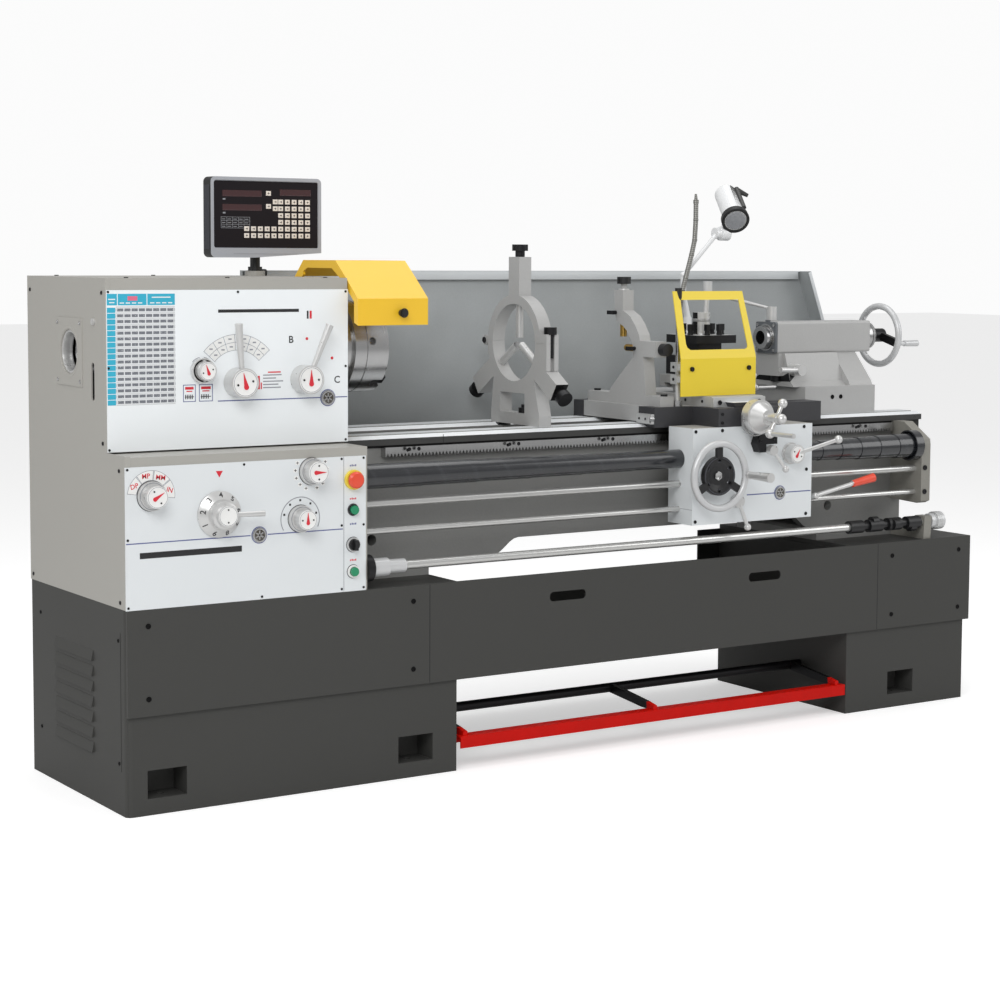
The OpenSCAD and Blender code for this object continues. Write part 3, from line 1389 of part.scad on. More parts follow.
module tail_handwheel() color("gainsboro") place()
    translate([barrel_right + 18 + gap, axis_y, axis_z]) rotate([0, 90, 0]) {
        rim_r = tail_wheel_d / 2 - 9;
        translate([0, 0, -150]) cylinder(h = 152, r = 10);
        cylinder(h = 22, r = 26);
        cylinder(h = 66, r = 19);
        // rim with finger scallops on the inside
        difference() {
            translate([0, 0, 54]) rotate_extrude() translate([rim_r, 0]) circle(9);
            for (a = [0:24:359]) rotate([0, 0, a + 12]) translate([rim_r - 13, 0, 40])
                cylinder(h = 28, r = 7);
        }
        // two spokes in line with the handle
        for (a = [0, 180]) rotate([0, 0, a - 75]) translate([15, -11, 48]) cube([rim_r - 18, 22, 13]);
        rotate([0, 0, 15]) translate([0, -rim_r, 54]) {
            cylinder(h = 24, r = 6);
            translate([0, 0, 23]) cylinder(h = 50, r1 = 8, r2 = 9);
        }
        translate([0, 0, 65]) cylinder(h = 8, r = 13);
    }

module quill_lock() color("silver") place() {
    z = lock_z + gap;
    bar_z(lock_x, axis_y, axis_z + quill_d / 2 + 6, z + 1, 6);
    bar_z(lock_x, axis_y, z, z + 36, 14);
    rod_between([lock_x, axis_y, z + 30], [lock_x - 93, axis_y + 67, z + 58], 4, 5);
}

module tail_clamp() color("silver") place() on_front(clamp_x, axis_y - 96 - gap, clamp_z) {
    shaft_front(30);
    cylinder(h = 16, r = 15);
    translate([0, 0, 8]) rotate([0, 0, 178]) rotate([0, 88, 0]) cylinder(h = 72, r1 = 6, r2 = 7);
}

// ---------- splash guard and foot brake ----------

splash_y = head_back + 12 + gap;
splash_left = head_right - 40;
splash_top = bed_z + splash_rise;

module splash_guard() color("silver") place() {
    along_y(splash_y, 2) polygon([
        [splash_left, base_top + 24], [bed_right + 21, base_top + 24], [bed_right + 21, splash_top - 141],
        [bed_right - 32, splash_top], [splash_left, splash_top]
    ]);
    // folded rim and right-hand return
    box(splash_left, bed_right - 32, splash_y - 12, splash_y + 2, splash_top - 2, splash_top);
    box(splash_left, bed_right - 32, splash_y, splash_y + 14, splash_top - 22, splash_top);
    along_y(splash_y - 60, 62) polygon([
        [bed_right - 34, splash_top], [bed_right - 32, splash_top], [bed_right + 21, splash_top - 141],
        [bed_right + 21, base_top + 60],
        [bed_right + 19, base_top + 60], [bed_right + 19, splash_top - 141]
    ]);
    // brackets down to the cabinets
    for (x = [left_length - 120, right_x + 80]) {
        box(x, x + 60, base_depth, base_depth + 3, base_top - 120, base_top + 80);
        box(x, x + 60, base_depth, splash_y + 1, base_top + 50, base_top + 80);
    }
}

module foot_brake() color("red") place() {
    x0 = left_length + 10;
    x1 = right_x - 6;
    // angled step along the front
    along_x(x0, x1 - x0) polygon([[4, 52], [8, 52], [8, 76], [34, 76], [34, 60], [38, 60], [38, 80],
        [4, 80]]);
    // pivot bar and arms
    bar_x(left_length - 22, right_x + 22, pedal_pivot_y, pedal_pivot_z, 12);
    for (x = [x0 + 10, (x0 + x1) / 2 - 30, x1 - 30]) along_x(x, 12) polygon([
        [10, 79], [60, 79], [pedal_pivot_y, pedal_pivot_z - 12], [pedal_pivot_y + 8, pedal_pivot_z],
        [pedal_pivot_y - 4, pedal_pivot_z + 10], [40, 96], [10, 90]
    ]);
}

left_pedestal();
right_pedestal();
chip_tray();
bed();
headstock_casing();
end_cover();
gearbox_casing();
splash_guard();
rod_bracket();
main_motor();
drive_belts();
spindle();
chuck();
jaw_1();
jaw_2();
jaw_3();
motor_pulley();
chuck_guard();
readout();
speed_lever();
range_lever();
direction_knob();
thread_knob();
feed_dial();
feed_knob_upper();
feed_knob_lower();
emergency_stop();
start_button();
mode_selector();
jog_button();
leadscrew();
feed_rod();
control_rod();
stop_rod();
cover_left();
cover_right();
saddle();
apron();
carriage_handwheel();
cross_slide();
cross_crank();
top_slide();
top_crank();
tool_post();
tool_guard();
follow_rest();
lamp();
coolant_hose();
feed_lever();
half_nut_lever();
feed_select_lever();
start_lever();
steady_base();
steady_top();
tailstock();
quill();
tail_handwheel();
quill_lock();
tail_clamp();
foot_brake();
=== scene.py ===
import json
import math

import bpy
from mathutils import Matrix, Vector


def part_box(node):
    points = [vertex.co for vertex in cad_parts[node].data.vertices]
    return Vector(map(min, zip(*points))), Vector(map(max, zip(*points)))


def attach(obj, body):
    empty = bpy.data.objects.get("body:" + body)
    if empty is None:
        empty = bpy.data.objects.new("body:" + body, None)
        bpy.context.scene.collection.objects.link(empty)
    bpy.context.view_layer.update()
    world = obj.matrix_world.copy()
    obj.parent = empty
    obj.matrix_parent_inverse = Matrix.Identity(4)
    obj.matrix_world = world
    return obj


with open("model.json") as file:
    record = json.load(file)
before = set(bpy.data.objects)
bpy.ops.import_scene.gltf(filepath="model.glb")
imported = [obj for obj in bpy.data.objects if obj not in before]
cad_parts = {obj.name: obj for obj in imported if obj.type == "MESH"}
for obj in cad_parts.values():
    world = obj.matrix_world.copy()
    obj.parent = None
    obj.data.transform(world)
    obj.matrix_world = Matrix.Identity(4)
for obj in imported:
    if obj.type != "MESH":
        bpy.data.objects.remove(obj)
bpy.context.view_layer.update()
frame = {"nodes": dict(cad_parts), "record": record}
NODES = frame["nodes"]

MM = 0.001
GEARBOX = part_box("gearbox_casing")
# the machine's datum: left end of the base, plane of the front covers, floor
DATUM_X = GEARBOX[0][0] + 2 * MM
DATUM_Y = GEARBOX[0][1]

# places in millimetres from the datum: (y, z) of the spindle's axis, (x, z) of the controls on the panels
AXIS = (305, 988)
SPEED_LEVER, RANGE_LEVER, DIRECTION_KNOB = (308, 922), (472, 925), (223, 950)
THREAD_KNOB, UPPER_KNOB, LOWER_KNOB, FEED_DIAL = (57, 692), (440, 726), (412, 622), (214, 644)
HANDWHEEL, FEED_LEVER = (1560, 662), (1823, 704)
BUTTON_X = 545
TOOL_POST = (1720, 245)
STEADY_X, FOLLOW_X = 1190, 1512
LAMP_CENTRE = Vector((1948, 392, 1304))
LAMP_AIM = Vector((-0.352, -0.772, -0.529)).normalized()
FAR = 9999


def at(x, y, z):
    """A place in millimetres from the datum, as metres in the frame."""
    return Vector((DATUM_X + x * MM, DATUM_Y + y * MM, z * MM))


def from_datum(point):
    """The other way round: frame metres to millimetres from the datum."""
    return Vector(((point[0] - DATUM_X) / MM, (point[1] - DATUM_Y) / MM, point[2] / MM))


# ---------------------------------------------------------------- shader building

def node(tree, kind, inputs=None, **settings):
    """Adds a shader node; an input is a value or another node's output."""
    made = tree.nodes.new(kind)
    for key, value in settings.items():
        setattr(made, key, value)
    for key, value in (inputs or {}).items():
        if isinstance(value, bpy.types.NodeSocket):
            tree.links.new(value, made.inputs[key])
        else:
            made.inputs[key].default_value = value
    return made


def calc(tree, operation, a, b=0.0):
    return node(tree, "ShaderNodeMath", {0: a, 1: b}, operation=operation).outputs[0]


def plus(tree, a, b):
    return calc(tree, "ADD", a, b)


def minus(tree, a, b):
    return calc(tree, "SUBTRACT", a, b)


def times(tree, a, b):
    return calc(tree, "MULTIPLY", a, b)


def above(tree, value, limit):
    """1 where value > limit, else 0."""
    return calc(tree, "GREATER_THAN", value, limit)


def between(tree, value, low, high):
    """1 where low < value < high, else 0."""
    return times(tree, above(tree, value, low), calc(tree, "LESS_THAN", value, high))


def part_of_turn(tree, value):
    """What is left of a value once whole numbers are taken off."""
    return calc(tree, "FRACT", value)


def mix(tree, factor, a, b):
    return node(tree, "ShaderNodeMix", {0: factor, 6: a, 7: b}, data_type="RGBA").outputs[2]


def object_place(tree):
    return tree.nodes.new("ShaderNodeTexCoord").outputs["Object"]


def noise(tree, scale, detail, place=None):
    if place is None:
        place = object_place(tree)
    return node(tree, "ShaderNodeTexNoise", {"Vector": place, "Scale": scale, "Detail": detail}).outputs[0]


def rgb(red, green, blue):
    """A colour card value, 0 to 255, as the shader's linear colour."""
    return tuple((v / 255 / 12.92) if v < 10.3 else ((v / 255 + 0.055) / 1.055) ** 2.4
                 for v in (red, green, blue)) + (1,)


# ---------------------------------------------------------------- camera and light

ROOM_LIGHT = 0.45
BACKDROP_LIGHT = 0.97
FLOOR_GLOW = 0.45
WHITE = (1, 1, 1, 1)


def add_camera():
    """Three-quarter view from the operator's left."""
    data = bpy.data.cameras.new("camera")
    data.sensor_width = 36
    data.lens = 79.53
    data.shift_x = -0.0478
    data.shift_y = -0.0621
    data.clip_end = 50
    camera = bpy.data.objects.new("camera", data)
    bpy.context.scene.collection.objects.link(camera)
    eye = at(-1851.9, -4339.75, 1212.75)
    yaw, pitch, roll = math.radians(56.03), math.radians(-4.79), math.radians(0.39)
    forward = Vector((math.cos(pitch) * math.cos(yaw), math.cos(pitch) * math.sin(yaw), math.sin(pitch)))
    side = Vector((math.sin(yaw), -math.cos(yaw), 0))
    up = side.cross(forward)
    turn = Matrix((side, up, -forward)).transposed().to_4x4()
    camera.matrix_world = Matrix.Translation(eye) @ turn @ Matrix.Rotation(roll, 4, "Z")
    bpy.context.scene.camera = camera


def add_softbox(name, place, target, size, power):
    data = bpy.data.lights.new(name, "AREA")
    data.shape = "RECTANGLE"
    data.size, data.size_y = size
    data.energy = power
    light = bpy.data.objects.new(name, data)
    bpy.context.scene.collection.objects.link(light)
    light.location = place
    light.rotation_euler = (Vector(target) - Vector(place)).to_track_quat("-Z", "Y").to_euler()


def add_stage():
    """Pale floor, white backdrop and four soft lights; the glow is seen only by the camera."""
    bpy.ops.object.select_all(action="DESELECT")
    bpy.ops.mesh.primitive_plane_add(size=60)
    floor = bpy.context.object
    floor.name = "floor"
    look = bpy.data.materials.new("studio_floor")
    look.use_nodes = True
    tree = look.node_tree
    shader = tree.nodes["Principled BSDF"]
    shader.inputs["Base Color"].default_value = (0.86, 0.86, 0.86, 1)
    shader.inputs["Roughness"].default_value = 0.9
    shader.inputs["Emission Color"].default_value = WHITE
    seen = tree.nodes.new("ShaderNodeLightPath").outputs["Is Camera Ray"]
    tree.links.new(times(tree, seen, FLOOR_GLOW), shader.inputs["Emission Strength"])
    floor.data.materials.append(look)
    world = bpy.data.worlds.new("studio")
    bpy.context.scene.world = world
    world.use_nodes = True
    tree = world.node_tree
    room = tree.nodes["Background"]
    room.inputs[0].default_value = WHITE
    room.inputs[1].default_value = ROOM_LIGHT
    backdrop = node(tree, "ShaderNodeBackground", {0: WHITE, 1: BACKDROP_LIGHT})
    seen = tree.nodes.new("ShaderNodeLightPath").outputs["Is Camera Ray"]
    choice = node(tree, "ShaderNodeMixShader", {0: seen, 1: room.outputs[0], 2: backdrop.outputs[0]})
    tree.links.new(choice.outputs[0], tree.nodes["World Output"].inputs[0])
    add_softbox("front_softbox", (-3.2, -3.6, 3.6), (0.0, 0.0, 0.7), (3.0, 2.4), 112)
    add_softbox("left_softbox", (-4.5, 0.4, 2.2), (-0.8, 0.0, 0.7), (2.4, 2.4), 19)
    add_softbox("right_softbox", (3.6, -2.6, 2.6), (0.8, 0.0, 0.7), (2.4, 2.4), 36)
    add_softbox("top_softbox", (0.0, 0.2, 4.2), (0.0, 0.0, 0.8), (4.0, 2.5), 52)


# ---------------------------------------------------------------- the two shared finishes

def new_group(name, inputs):
    """An empty node group that gives colour, roughness and height."""
    tree = bpy.data.node_groups.new(name, "ShaderNodeTree")
    kinds = {tuple: "NodeSocketColor", float: "NodeSocketFloat", list: "NodeSocketVector"}
    for title, value in inputs:
        socket = tree.interface.new_socket(title, in_out="INPUT", socket_type=kinds[type(value)])
        socket.default_value = value
    for title, kind in (("Colour", tuple), ("Roughness", float), ("Height", float)):
        tree.interface.new_socket(title, in_out="OUTPUT", socket_type=kinds[kind])
    return tree, tree.nodes.new("NodeGroupInput").outputs, tree.nodes.new("NodeGroupOutput").inputs


def close_group(tree, out, given, shade, roughness, height):
    """Joins a group's results to its outputs; shade multiplies the colour."""
    tinted = node(tree, "ShaderNodeVectorMath", {0: given["Colour"], 3: shade}, operation="SCALE").outputs[0]
    for title, result in (("Colour", tinted), ("Roughness", roughness), ("Height", height)):
        tree.links.new(result, out[title])
    return tree


def build_paint_film():
    """Sprayed paint: cloudy shade, uneven gloss and fine orange peel."""
    tree, given, out = new_group("paint_film", (
        ("Colour", (0.5, 0.5, 0.5, 1)), ("Mottle", 0.05), ("Mottle Scale", 5.0), ("Grain Scale", 500.0),
        ("Gloss Loss", 0.4)))
    place = object_place(tree)
    cloud = noise(tree, given["Mottle Scale"], 4.0, place)
    grain = noise(tree, given["Grain Scale"], 2.0, place)
    swing = times(tree, minus(tree, cloud, 0.5), given["Mottle"])
    fleck = times(tree, minus(tree, grain, 0.5), times(tree, given["Mottle"], 0.6))
    shade = plus(tree, plus(tree, swing, fleck), 1.0)
    roughness = plus(tree, given["Gloss Loss"], times(tree, swing, 1.5))
    return close_group(tree, out, given, shade, roughness, grain)


def build_machined_metal():
    """Bare metal with tool marks drawn out along one direction."""
    tree, given, out = new_group("machined_metal", (
        ("Colour", (0.5, 0.5, 0.5, 1)), ("Marks", [900.0, 4.0, 4.0]), ("Contrast", 0.15),
        ("Gloss Loss", 0.25)))
    place = object_place(tree)
    drawn = node(tree, "ShaderNodeVectorMath", {0: place, 1: given["Marks"]}, operation="MULTIPLY").outputs[0]
    marks = noise(tree, 1.0, 3.0, drawn)
    cloud = noise(tree, 14.0, 3.0, place)
    both = minus(tree, plus(tree, marks, times(tree, cloud, 0.6)), 0.8)
    shade = plus(tree, times(tree, both, given["Contrast"]), 1.0)
    roughness = plus(tree, given["Gloss Loss"], times(tree, both, 0.12))
    return close_group(tree, out, given, shade, roughness, marks)


PAINT_FILM = build_paint_film()
MACHINED_METAL = build_machined_metal()


def surface(name, group, values, metallic=0.0, coat=0.0, bump=0.1, bump_size=0.0004, specular=0.5):
    """A finish made of one shared group and the main shader."""
    material = bpy.data.materials.new(name)
    material.use_nodes = True
    tree = material.node_tree
    shader = tree.nodes["Principled BSDF"]
    for title, value in (("Metallic", metallic), ("Coat Weight", coat), ("Coat Roughness", 0.15),
                         ("Specular IOR Level", specular)):
        shader.inputs[title].default_value = value
    film = node(tree, "ShaderNodeGroup", node_tree=group)
    for key, value in values.items():
        film.inputs[key].default_value = value
    tree.links.new(film.outputs["Colour"], shader.inputs["Base Color"])
    tree.links.new(film.outputs["Roughness"], shader.inputs["Roughness"])
    relief = node(tree, "ShaderNodeBump", {
        "Strength": bump, "Distance": bump_size, "Height": film.outputs["Height"]})
    tree.links.new(relief.outputs[0], shader.inputs["Normal"])
    return material


def painted(name, colour, gloss_loss=0.45, mottle=0.06, mottle_scale=5.0, grain=500.0, **more):
    return surface(name, PAINT_FILM, {
        "Colour": rgb(*colour), "Mottle": mottle, "Mottle Scale": mottle_scale, "Grain Scale": grain,
        "Gloss Loss": gloss_loss}, **more)


def machined(name, colour, marks, contrast, gloss_loss, metallic=1.0, **more):
    return surface(name, MACHINED_METAL, {
        "Colour": rgb(*colour), "Marks": marks, "Contrast": contrast, "Gloss Loss": gloss_loss},
        metallic=metallic, **more)


def pattern_parts(material):
    """What a pattern is made from: the tree, the place along each axis, the colour so far and the bump."""
    tree = material.node_tree
    shader = tree.nodes["Principled BSDF"]
    split = node(tree, "ShaderNodeSeparateXYZ", {0: object_place(tree)}).outputs
    return (tree, split, shader.inputs["Base Color"].links[0].from_socket,
            shader.inputs["Normal"].links[0].from_node.inputs)


def recolour(tree, colour):
    tree.links.new(colour, tree.nodes["Principled BSDF"].inputs["Base Color"])


# ---------------------------------------------------------------- finishes

CASTING = {"bump": 0.35, "bump_size": 0.0008}
TREAD = {"bump": 0.3, "specular": 0.15}

FINISH = {
    "cabinet_grey": painted("charcoal_cabinet_paint", (69, 69, 67), 0.55, 0.1, 2.5, 420.0,
                            bump=0.25, specular=0.25),
    "casing_grey": painted("warm_grey_casing_paint", (171, 169, 163), 0.45, 0.05, 3.0, 380.0, bump=0.2),
    "panel_silver": painted("silver_panel", (227, 231, 233), 0.4, 0.03, 2.0, 900.0, bump=0.05),
    "casting_grey": painted("grey_casting_paint", (178, 178, 177), 0.4, 0.1, 9.0, 170.0, **CASTING),
    "bed_iron": painted("bed_casting_paint", (140, 140, 138), 0.45, 0.2, 5.0, 170.0, **CASTING),
    "sheet_grey": painted("grey_guard_sheet", (168, 172, 173), 0.5, 0.22, 9.0, 260.0, bump=0.2),
    "bright_steel": machined("turned_steel", (186, 186, 186), (700.0, 6.0, 6.0), 0.22, 0.25),
    "chrome": machined("satin_plated_steel", (214, 214, 213), (60.0, 60.0, 60.0), 0.08, 0.3, 0.55),
    "guard_yellow": painted("yellow_guard_paint", (244, 196, 44), 0.38, 0.05, 6.0, 380.0,
                            bump=0.15, coat=0.2),
    "black_plastic": painted("black_moulding", (24, 24, 26), 0.42, 0.1, 20.0, 700.0, bump=0.2),
    "black_steel": machined("blackened_steel", (38, 38, 40), (400.0, 60.0, 60.0), 0.3, 0.35, 0.6),
    "red_paint": painted("red_tread_paint", (204, 16, 6), 0.42, 0.2, 30.0, 300.0, **TREAD),
    "red_plastic": painted("red_button_moulding", (232, 78, 52), 0.3, 0.05, 60.0, 900.0, coat=0.3),
    "green_plastic": painted("green_button_moulding", (26, 140, 96), 0.3, 0.08, 60.0, 900.0, coat=0.3),
    "lamp_white": painted("satin_light_metal", (206, 207, 208), 0.34, 0.05, 20.0, 600.0, metallic=0.25),
    "belt_rubber": painted("belt_rubber", (30, 30, 31), 0.7, 0.2, 40.0, 900.0, bump=0.3),
    "motor_blue": painted("motor_paint", (86, 98, 112), 0.45, 0.08, 8.0, 300.0, bump=0.25),
}
BLACK_PLASTIC, BLACK_STEEL, BRIGHT_STEEL, CHROME, LAMP_WHITE, PANEL_SILVER = (FINISH[slot] for slot in (
    "black_plastic", "black_steel", "bright_steel", "chrome", "lamp_white", "panel_silver"))
# bare metal
GROUND_WAY = machined("ground_way", (238, 241, 243), (5.0, 500.0, 500.0), 0.1, 0.34, 0.1)
ROD_STEEL = machined("drawn_rod_steel", (208, 208, 206), (3.0, 260.0, 260.0), 0.08, 0.22, 0.7)
HOSE_STEEL = machined("segmented_hose_steel", (150, 149, 145), (60.0, 60.0, 60.0), 0.2, 0.32, 0.7,
                      bump=0.8, bump_size=0.001)
PLATE_LIGHT = machined("milled_light_plate", (205, 206, 205), (5.0, 300.0, 300.0), 0.12, 0.35, 0.45)
BRASS = machined("brass_tip", (196, 160, 86), (300.0, 300.0, 300.0), 0.2, 0.3)
KNURLED = machined("knurled_collar", (176, 176, 176), (900.0, 900.0, 900.0), 0.5, 0.35, 0.8,
                   bump=0.6, bump_size=0.0008)
COVER_STRIP = machined("coiled_cover_strip", (34, 36, 40), (12.0, 300.0, 300.0), 0.3, 0.26, 0.1,
                       coat=0.8, bump=0.18, bump_size=0.0005)
# paint
LEMON_GUARD = painted("lemon_guard_paint", (238, 210, 50), 0.38, 0.05, 6.0, 380.0, bump=0.15, coat=0.2)
LAMP_ENAMEL = painted("light_lamp_enamel", (240, 241, 242), 0.34, 0.04, 20.0, 600.0, metallic=0.1)
BRACKET_IRON = painted("bracket_casting_paint", (140, 138, 131), 0.45, 0.2, 7.0, 170.0,
                       bump=0.4, bump_size=0.0008)
SCREW_BLACK = painted("black_oxide_screw", (10, 10, 11), 0.6, 0.1, 60.0, 900.0, specular=0.15)
# the gearbox panel's silver paint made lighter as painted light, to offset the shade that falls on the
# headstock's panel
HEAD_PANEL_PAINTED_LIGHT = painted("silver_panel_painted_light", (243, 247, 249), 0.4, 0.03, 2.0, 900.0, bump=0.05)
# dark grey: on the bed it is painted shade, the front faces of the ways darker than their lit ground tops; on
# the lamp it is the dark grey of the parts above and to the right of its head
DARK_GREY_AND_WAY_SHADE = painted("dark_grey_and_way_side_shade", (60, 60, 59), 0.35, 0.25, 12.0, 300.0)
# the guard sheet's grey made lighter: painted highlight on the splash guard's folded rims
RIM_PAINTED_HIGHLIGHT = painted("folded_rim_painted_highlight", (208, 212, 214), 0.4, 0.05, 8.0, 300.0)
GRAPHITE = painted("graphite_plate_paint", (96, 100, 104), 0.4, 0.12, 20.0, 300.0)
TREAD_RED = painted("red_tread_top", (232, 24, 10), 0.42, 0.2, 30.0, 300.0, **TREAD)
WING_BLACK = painted("black_saddle_paint", (58, 58, 61), 0.45, 0.2, 14.0, 240.0, bump=0.35)
# near-black: on the seams and the door edge it is their own dark joint; under the front way and inside the
# spindle's bore it is painted shade
SEAM_DARK_AND_SHADE = painted("dark_seams_and_painted_shade", (34, 34, 34), 0.7, 0.2, 10.0, 300.0)
# print
PRINT_BLACK = painted("black_print", (34, 34, 36), 0.5, 0.05, 40.0, 900.0)
PRINT_RED = painted("red_print", (216, 40, 56), 0.45, 0.08, 40.0, 900.0)
PRINT_BLUE = painted("blue_grey_print", (92, 100, 150), 0.45, 0.08, 40.0, 900.0)
# grey for print lines and marks, and also for the painted shadow rings on the gearbox knobs
GREY_PRINT_AND_SHADE = painted("grey_print", (150, 152, 158), 0.45, 0.08, 40.0, 900.0)
PRINT_CYAN = painted("chart_blue_print", (52, 176, 206), 0.45, 0.05, 30.0, 900.0)
PRINT_PINK = painted("chart_pink_print", (226, 112, 140), 0.45, 0.05, 30.0, 900.0)
CHART_ROWS = painted("chart_printing", (226, 228, 230), 0.45, 0.03, 6.0, 900.0)
# mouldings and windows
CLIP_ORANGE = painted("orange_clip", (226, 112, 52), 0.4, 0.05, 60.0, 900.0)
BEZEL_SILVER = painted("silver_case_moulding", (170, 173, 180), 0.38, 0.05, 20.0, 700.0, bump=0.15)
BEZEL_YELLOW = painted("yellow_button_base", (240, 216, 70), 0.35, 0.05, 60.0, 900.0, coat=0.2)
WHITE_FACE = painted("white_enamel", (240, 240, 238), 0.35, 0.03, 30.0, 900.0, coat=0.1)
KEY_CREAM = painted("cream_keys", (232, 224, 216), 0.4, 0.05, 60.0, 900.0)
# dark grey: the readout case's mouldings and the handwheel's hub rings, and also the painted shadow rings
# round the button bezels
CASE_DARK_AND_SHADE_LINE = painted("dark_case_moulding_and_shade_line", (66, 67, 74), 0.45, 0.1, 30.0, 700.0, bump=0.3)
SCREEN_BLACK = painted("keypad_face", (30, 26, 30), 0.5, 0.08, 30.0, 900.0, specular=0.15)
DISPLAY_RED = painted("dark_display_window", (58, 16, 20), 0.12, 0.15, 60.0, 900.0, coat=1.0)
SIGHT_OIL = painted("amber_sight_window", (66, 60, 48), 0.15, 0.3, 120.0, 500.0, coat=1.0)
LENS_GREY = painted("lamp_lens_glass", (150, 152, 156), 0.12, 0.3, 160.0, 500.0, coat=1.0)


def pattern_the_finishes():
    """Brake tread lugs, hose rings with painted shade in their grooves, turns of the cover strip with a
    painted highlight along each turn's edge, and the chart's rows of small figures.
    """
    tree, split, base, bump = pattern_parts(TREAD_RED)
    along, across = times(tree, split[0], 90.0), times(tree, split[1], 120.0)
    left, right = plus(tree, along, across), minus(tree, along, across)
    lug = times(tree, above(tree, part_of_turn(tree, left), 0.62),
                calc(tree, "LESS_THAN", part_of_turn(tree, times(tree, right, 0.5)), 0.42))
    spot = times(tree, lug, above(tree, noise(tree, 260.0, 3.0), 0.42))
    recolour(tree, mix(tree, times(tree, spot, 0.55), base, rgb(150, 24, 16)))
    bump["Distance"].default_value = 0.0012
    bump["Strength"].default_value = 0.8
    film = bump["Height"].links[0].from_socket
    tree.links.new(plus(tree, lug, times(tree, film, 0.15)), bump["Height"])

    tree, split, base, bump = pattern_parts(HOSE_STEEL)
    wave = calc(tree, "ABSOLUTE", minus(tree, part_of_turn(tree, times(tree, split[2], 190.0)), 0.5))
    # painted shade: the grooves between the hose's rings coloured darker
    groove_shade = times(tree, calc(tree, "LESS_THAN", wave, 0.14), 0.6)
    recolour(tree, mix(tree, groove_shade, base, rgb(70, 69, 66)))
    tree.links.new(wave, bump["Height"])

    tree, split, base, bump = pattern_parts(COVER_STRIP)
    leadscrew_y, leadscrew_z = DATUM_Y + 57 * MM, 700 * MM
    angle = calc(tree, "ARCTAN2", minus(tree, split[1], leadscrew_y), minus(tree, split[2], leadscrew_z))
    turns = part_of_turn(tree, plus(tree, times(tree, split[0], 11.0),
                                    calc(tree, "DIVIDE", angle, 2 * math.pi)))
    # painted highlight: a lighter line along the edge of each turn of the strip
    recolour(tree, mix(tree, times(tree, above(tree, turns, 0.9), 0.12), base, rgb(84, 87, 92)))
    tree.links.new(turns, bump["Height"])

    tree, split, base, _ = pattern_parts(CHART_ROWS)
    column_width, row_height = 16.6, 12.4
    across = times(tree, minus(tree, split[0], DATUM_X + 25 * MM), 1000 / column_width)
    down = times(tree, minus(tree, split[2], 0.88), 1000 / row_height)
    cell = times(tree, between(tree, part_of_turn(tree, down), 0.24, 0.74),
                 between(tree, part_of_turn(tree, across), 0.07, 0.92))
    ink = times(tree, cell, above(tree, noise(tree, 650.0, 1.0), 0.3))
    rule = above(tree, part_of_turn(tree, down), 0.95)
    shade = calc(tree, "MAXIMUM", times(tree, ink, 0.88), times(tree, rule, 0.4))
    recolour(tree, mix(tree, shade, base, rgb(86, 92, 102)))


# ---------------------------------------------------------------- finishes by place on the CAD pieces

def paint(name, material, *tests):
    """Gives a finish to the faces of a CAD node that pass any test(place, normal)."""
    part = NODES[name]
    part.data.materials.append(material)
    index = len(part.data.materials) - 1
    for face in part.data.polygons:
        if any(test(from_datum(face.center), face.normal) for test in tests):
            face.material_index = index


def in_box(x=(-FAR, FAR), y=(-FAR, FAR), z=(-FAR, FAR)):
    """A test that takes the faces whose middle is inside a box."""
    return lambda p, n: x[0] < p[0] < x[1] and y[0] < p[1] < y[1] and z[0] < p[2] < z[1]


def in_round(centre, reach, axis=1, span=(-FAR, FAR)):
    """A test that takes the faces inside a cylinder about a line along one axis."""
    a, b = (i for i in (0, 1, 2) if i != axis)
    return lambda p, n: (span[0] < p[axis] < span[1]
                         and math.hypot(p[a] - centre[a], p[b] - centre[b]) < reach)


def off_axis(place):
    """How far a place lies from the spindle's axis, in millimetres."""
    return math.hypot(place[1] - AXIS[0], place[2] - AXIS[1])


def lamp_reach(place):
    """How far a place lies in front of the lamp's lens, in millimetres."""
    return (Vector(place) - LAMP_CENTRE).dot(LAMP_AIM)


def lamp_away(place):
    """How far a place lies from the lamp head's centre line, in millimetres."""
    offset = Vector(place) - LAMP_CENTRE
    return (offset - LAMP_AIM * offset.dot(LAMP_AIM)).length


def give_each_node_its_finish():
    slots = {s["node"]: s["material_slot"] for s in frame["record"]["subparts"]}
    special = {"leadscrew": ROD_STEEL, "feed_rod": ROD_STEEL, "control_rod": ROD_STEEL, "stop_rod": ROD_STEEL,
               "cover_left": COVER_STRIP, "cover_right": COVER_STRIP, "coolant_hose": HOSE_STEEL,
               "lamp": LAMP_ENAMEL, "rod_bracket": BRACKET_IRON, "tool_guard": LEMON_GUARD}
    for name, part in NODES.items():
        part.data.materials.clear()
        part.data.materials.append(special.get(name) or FINISH[slots[name]])


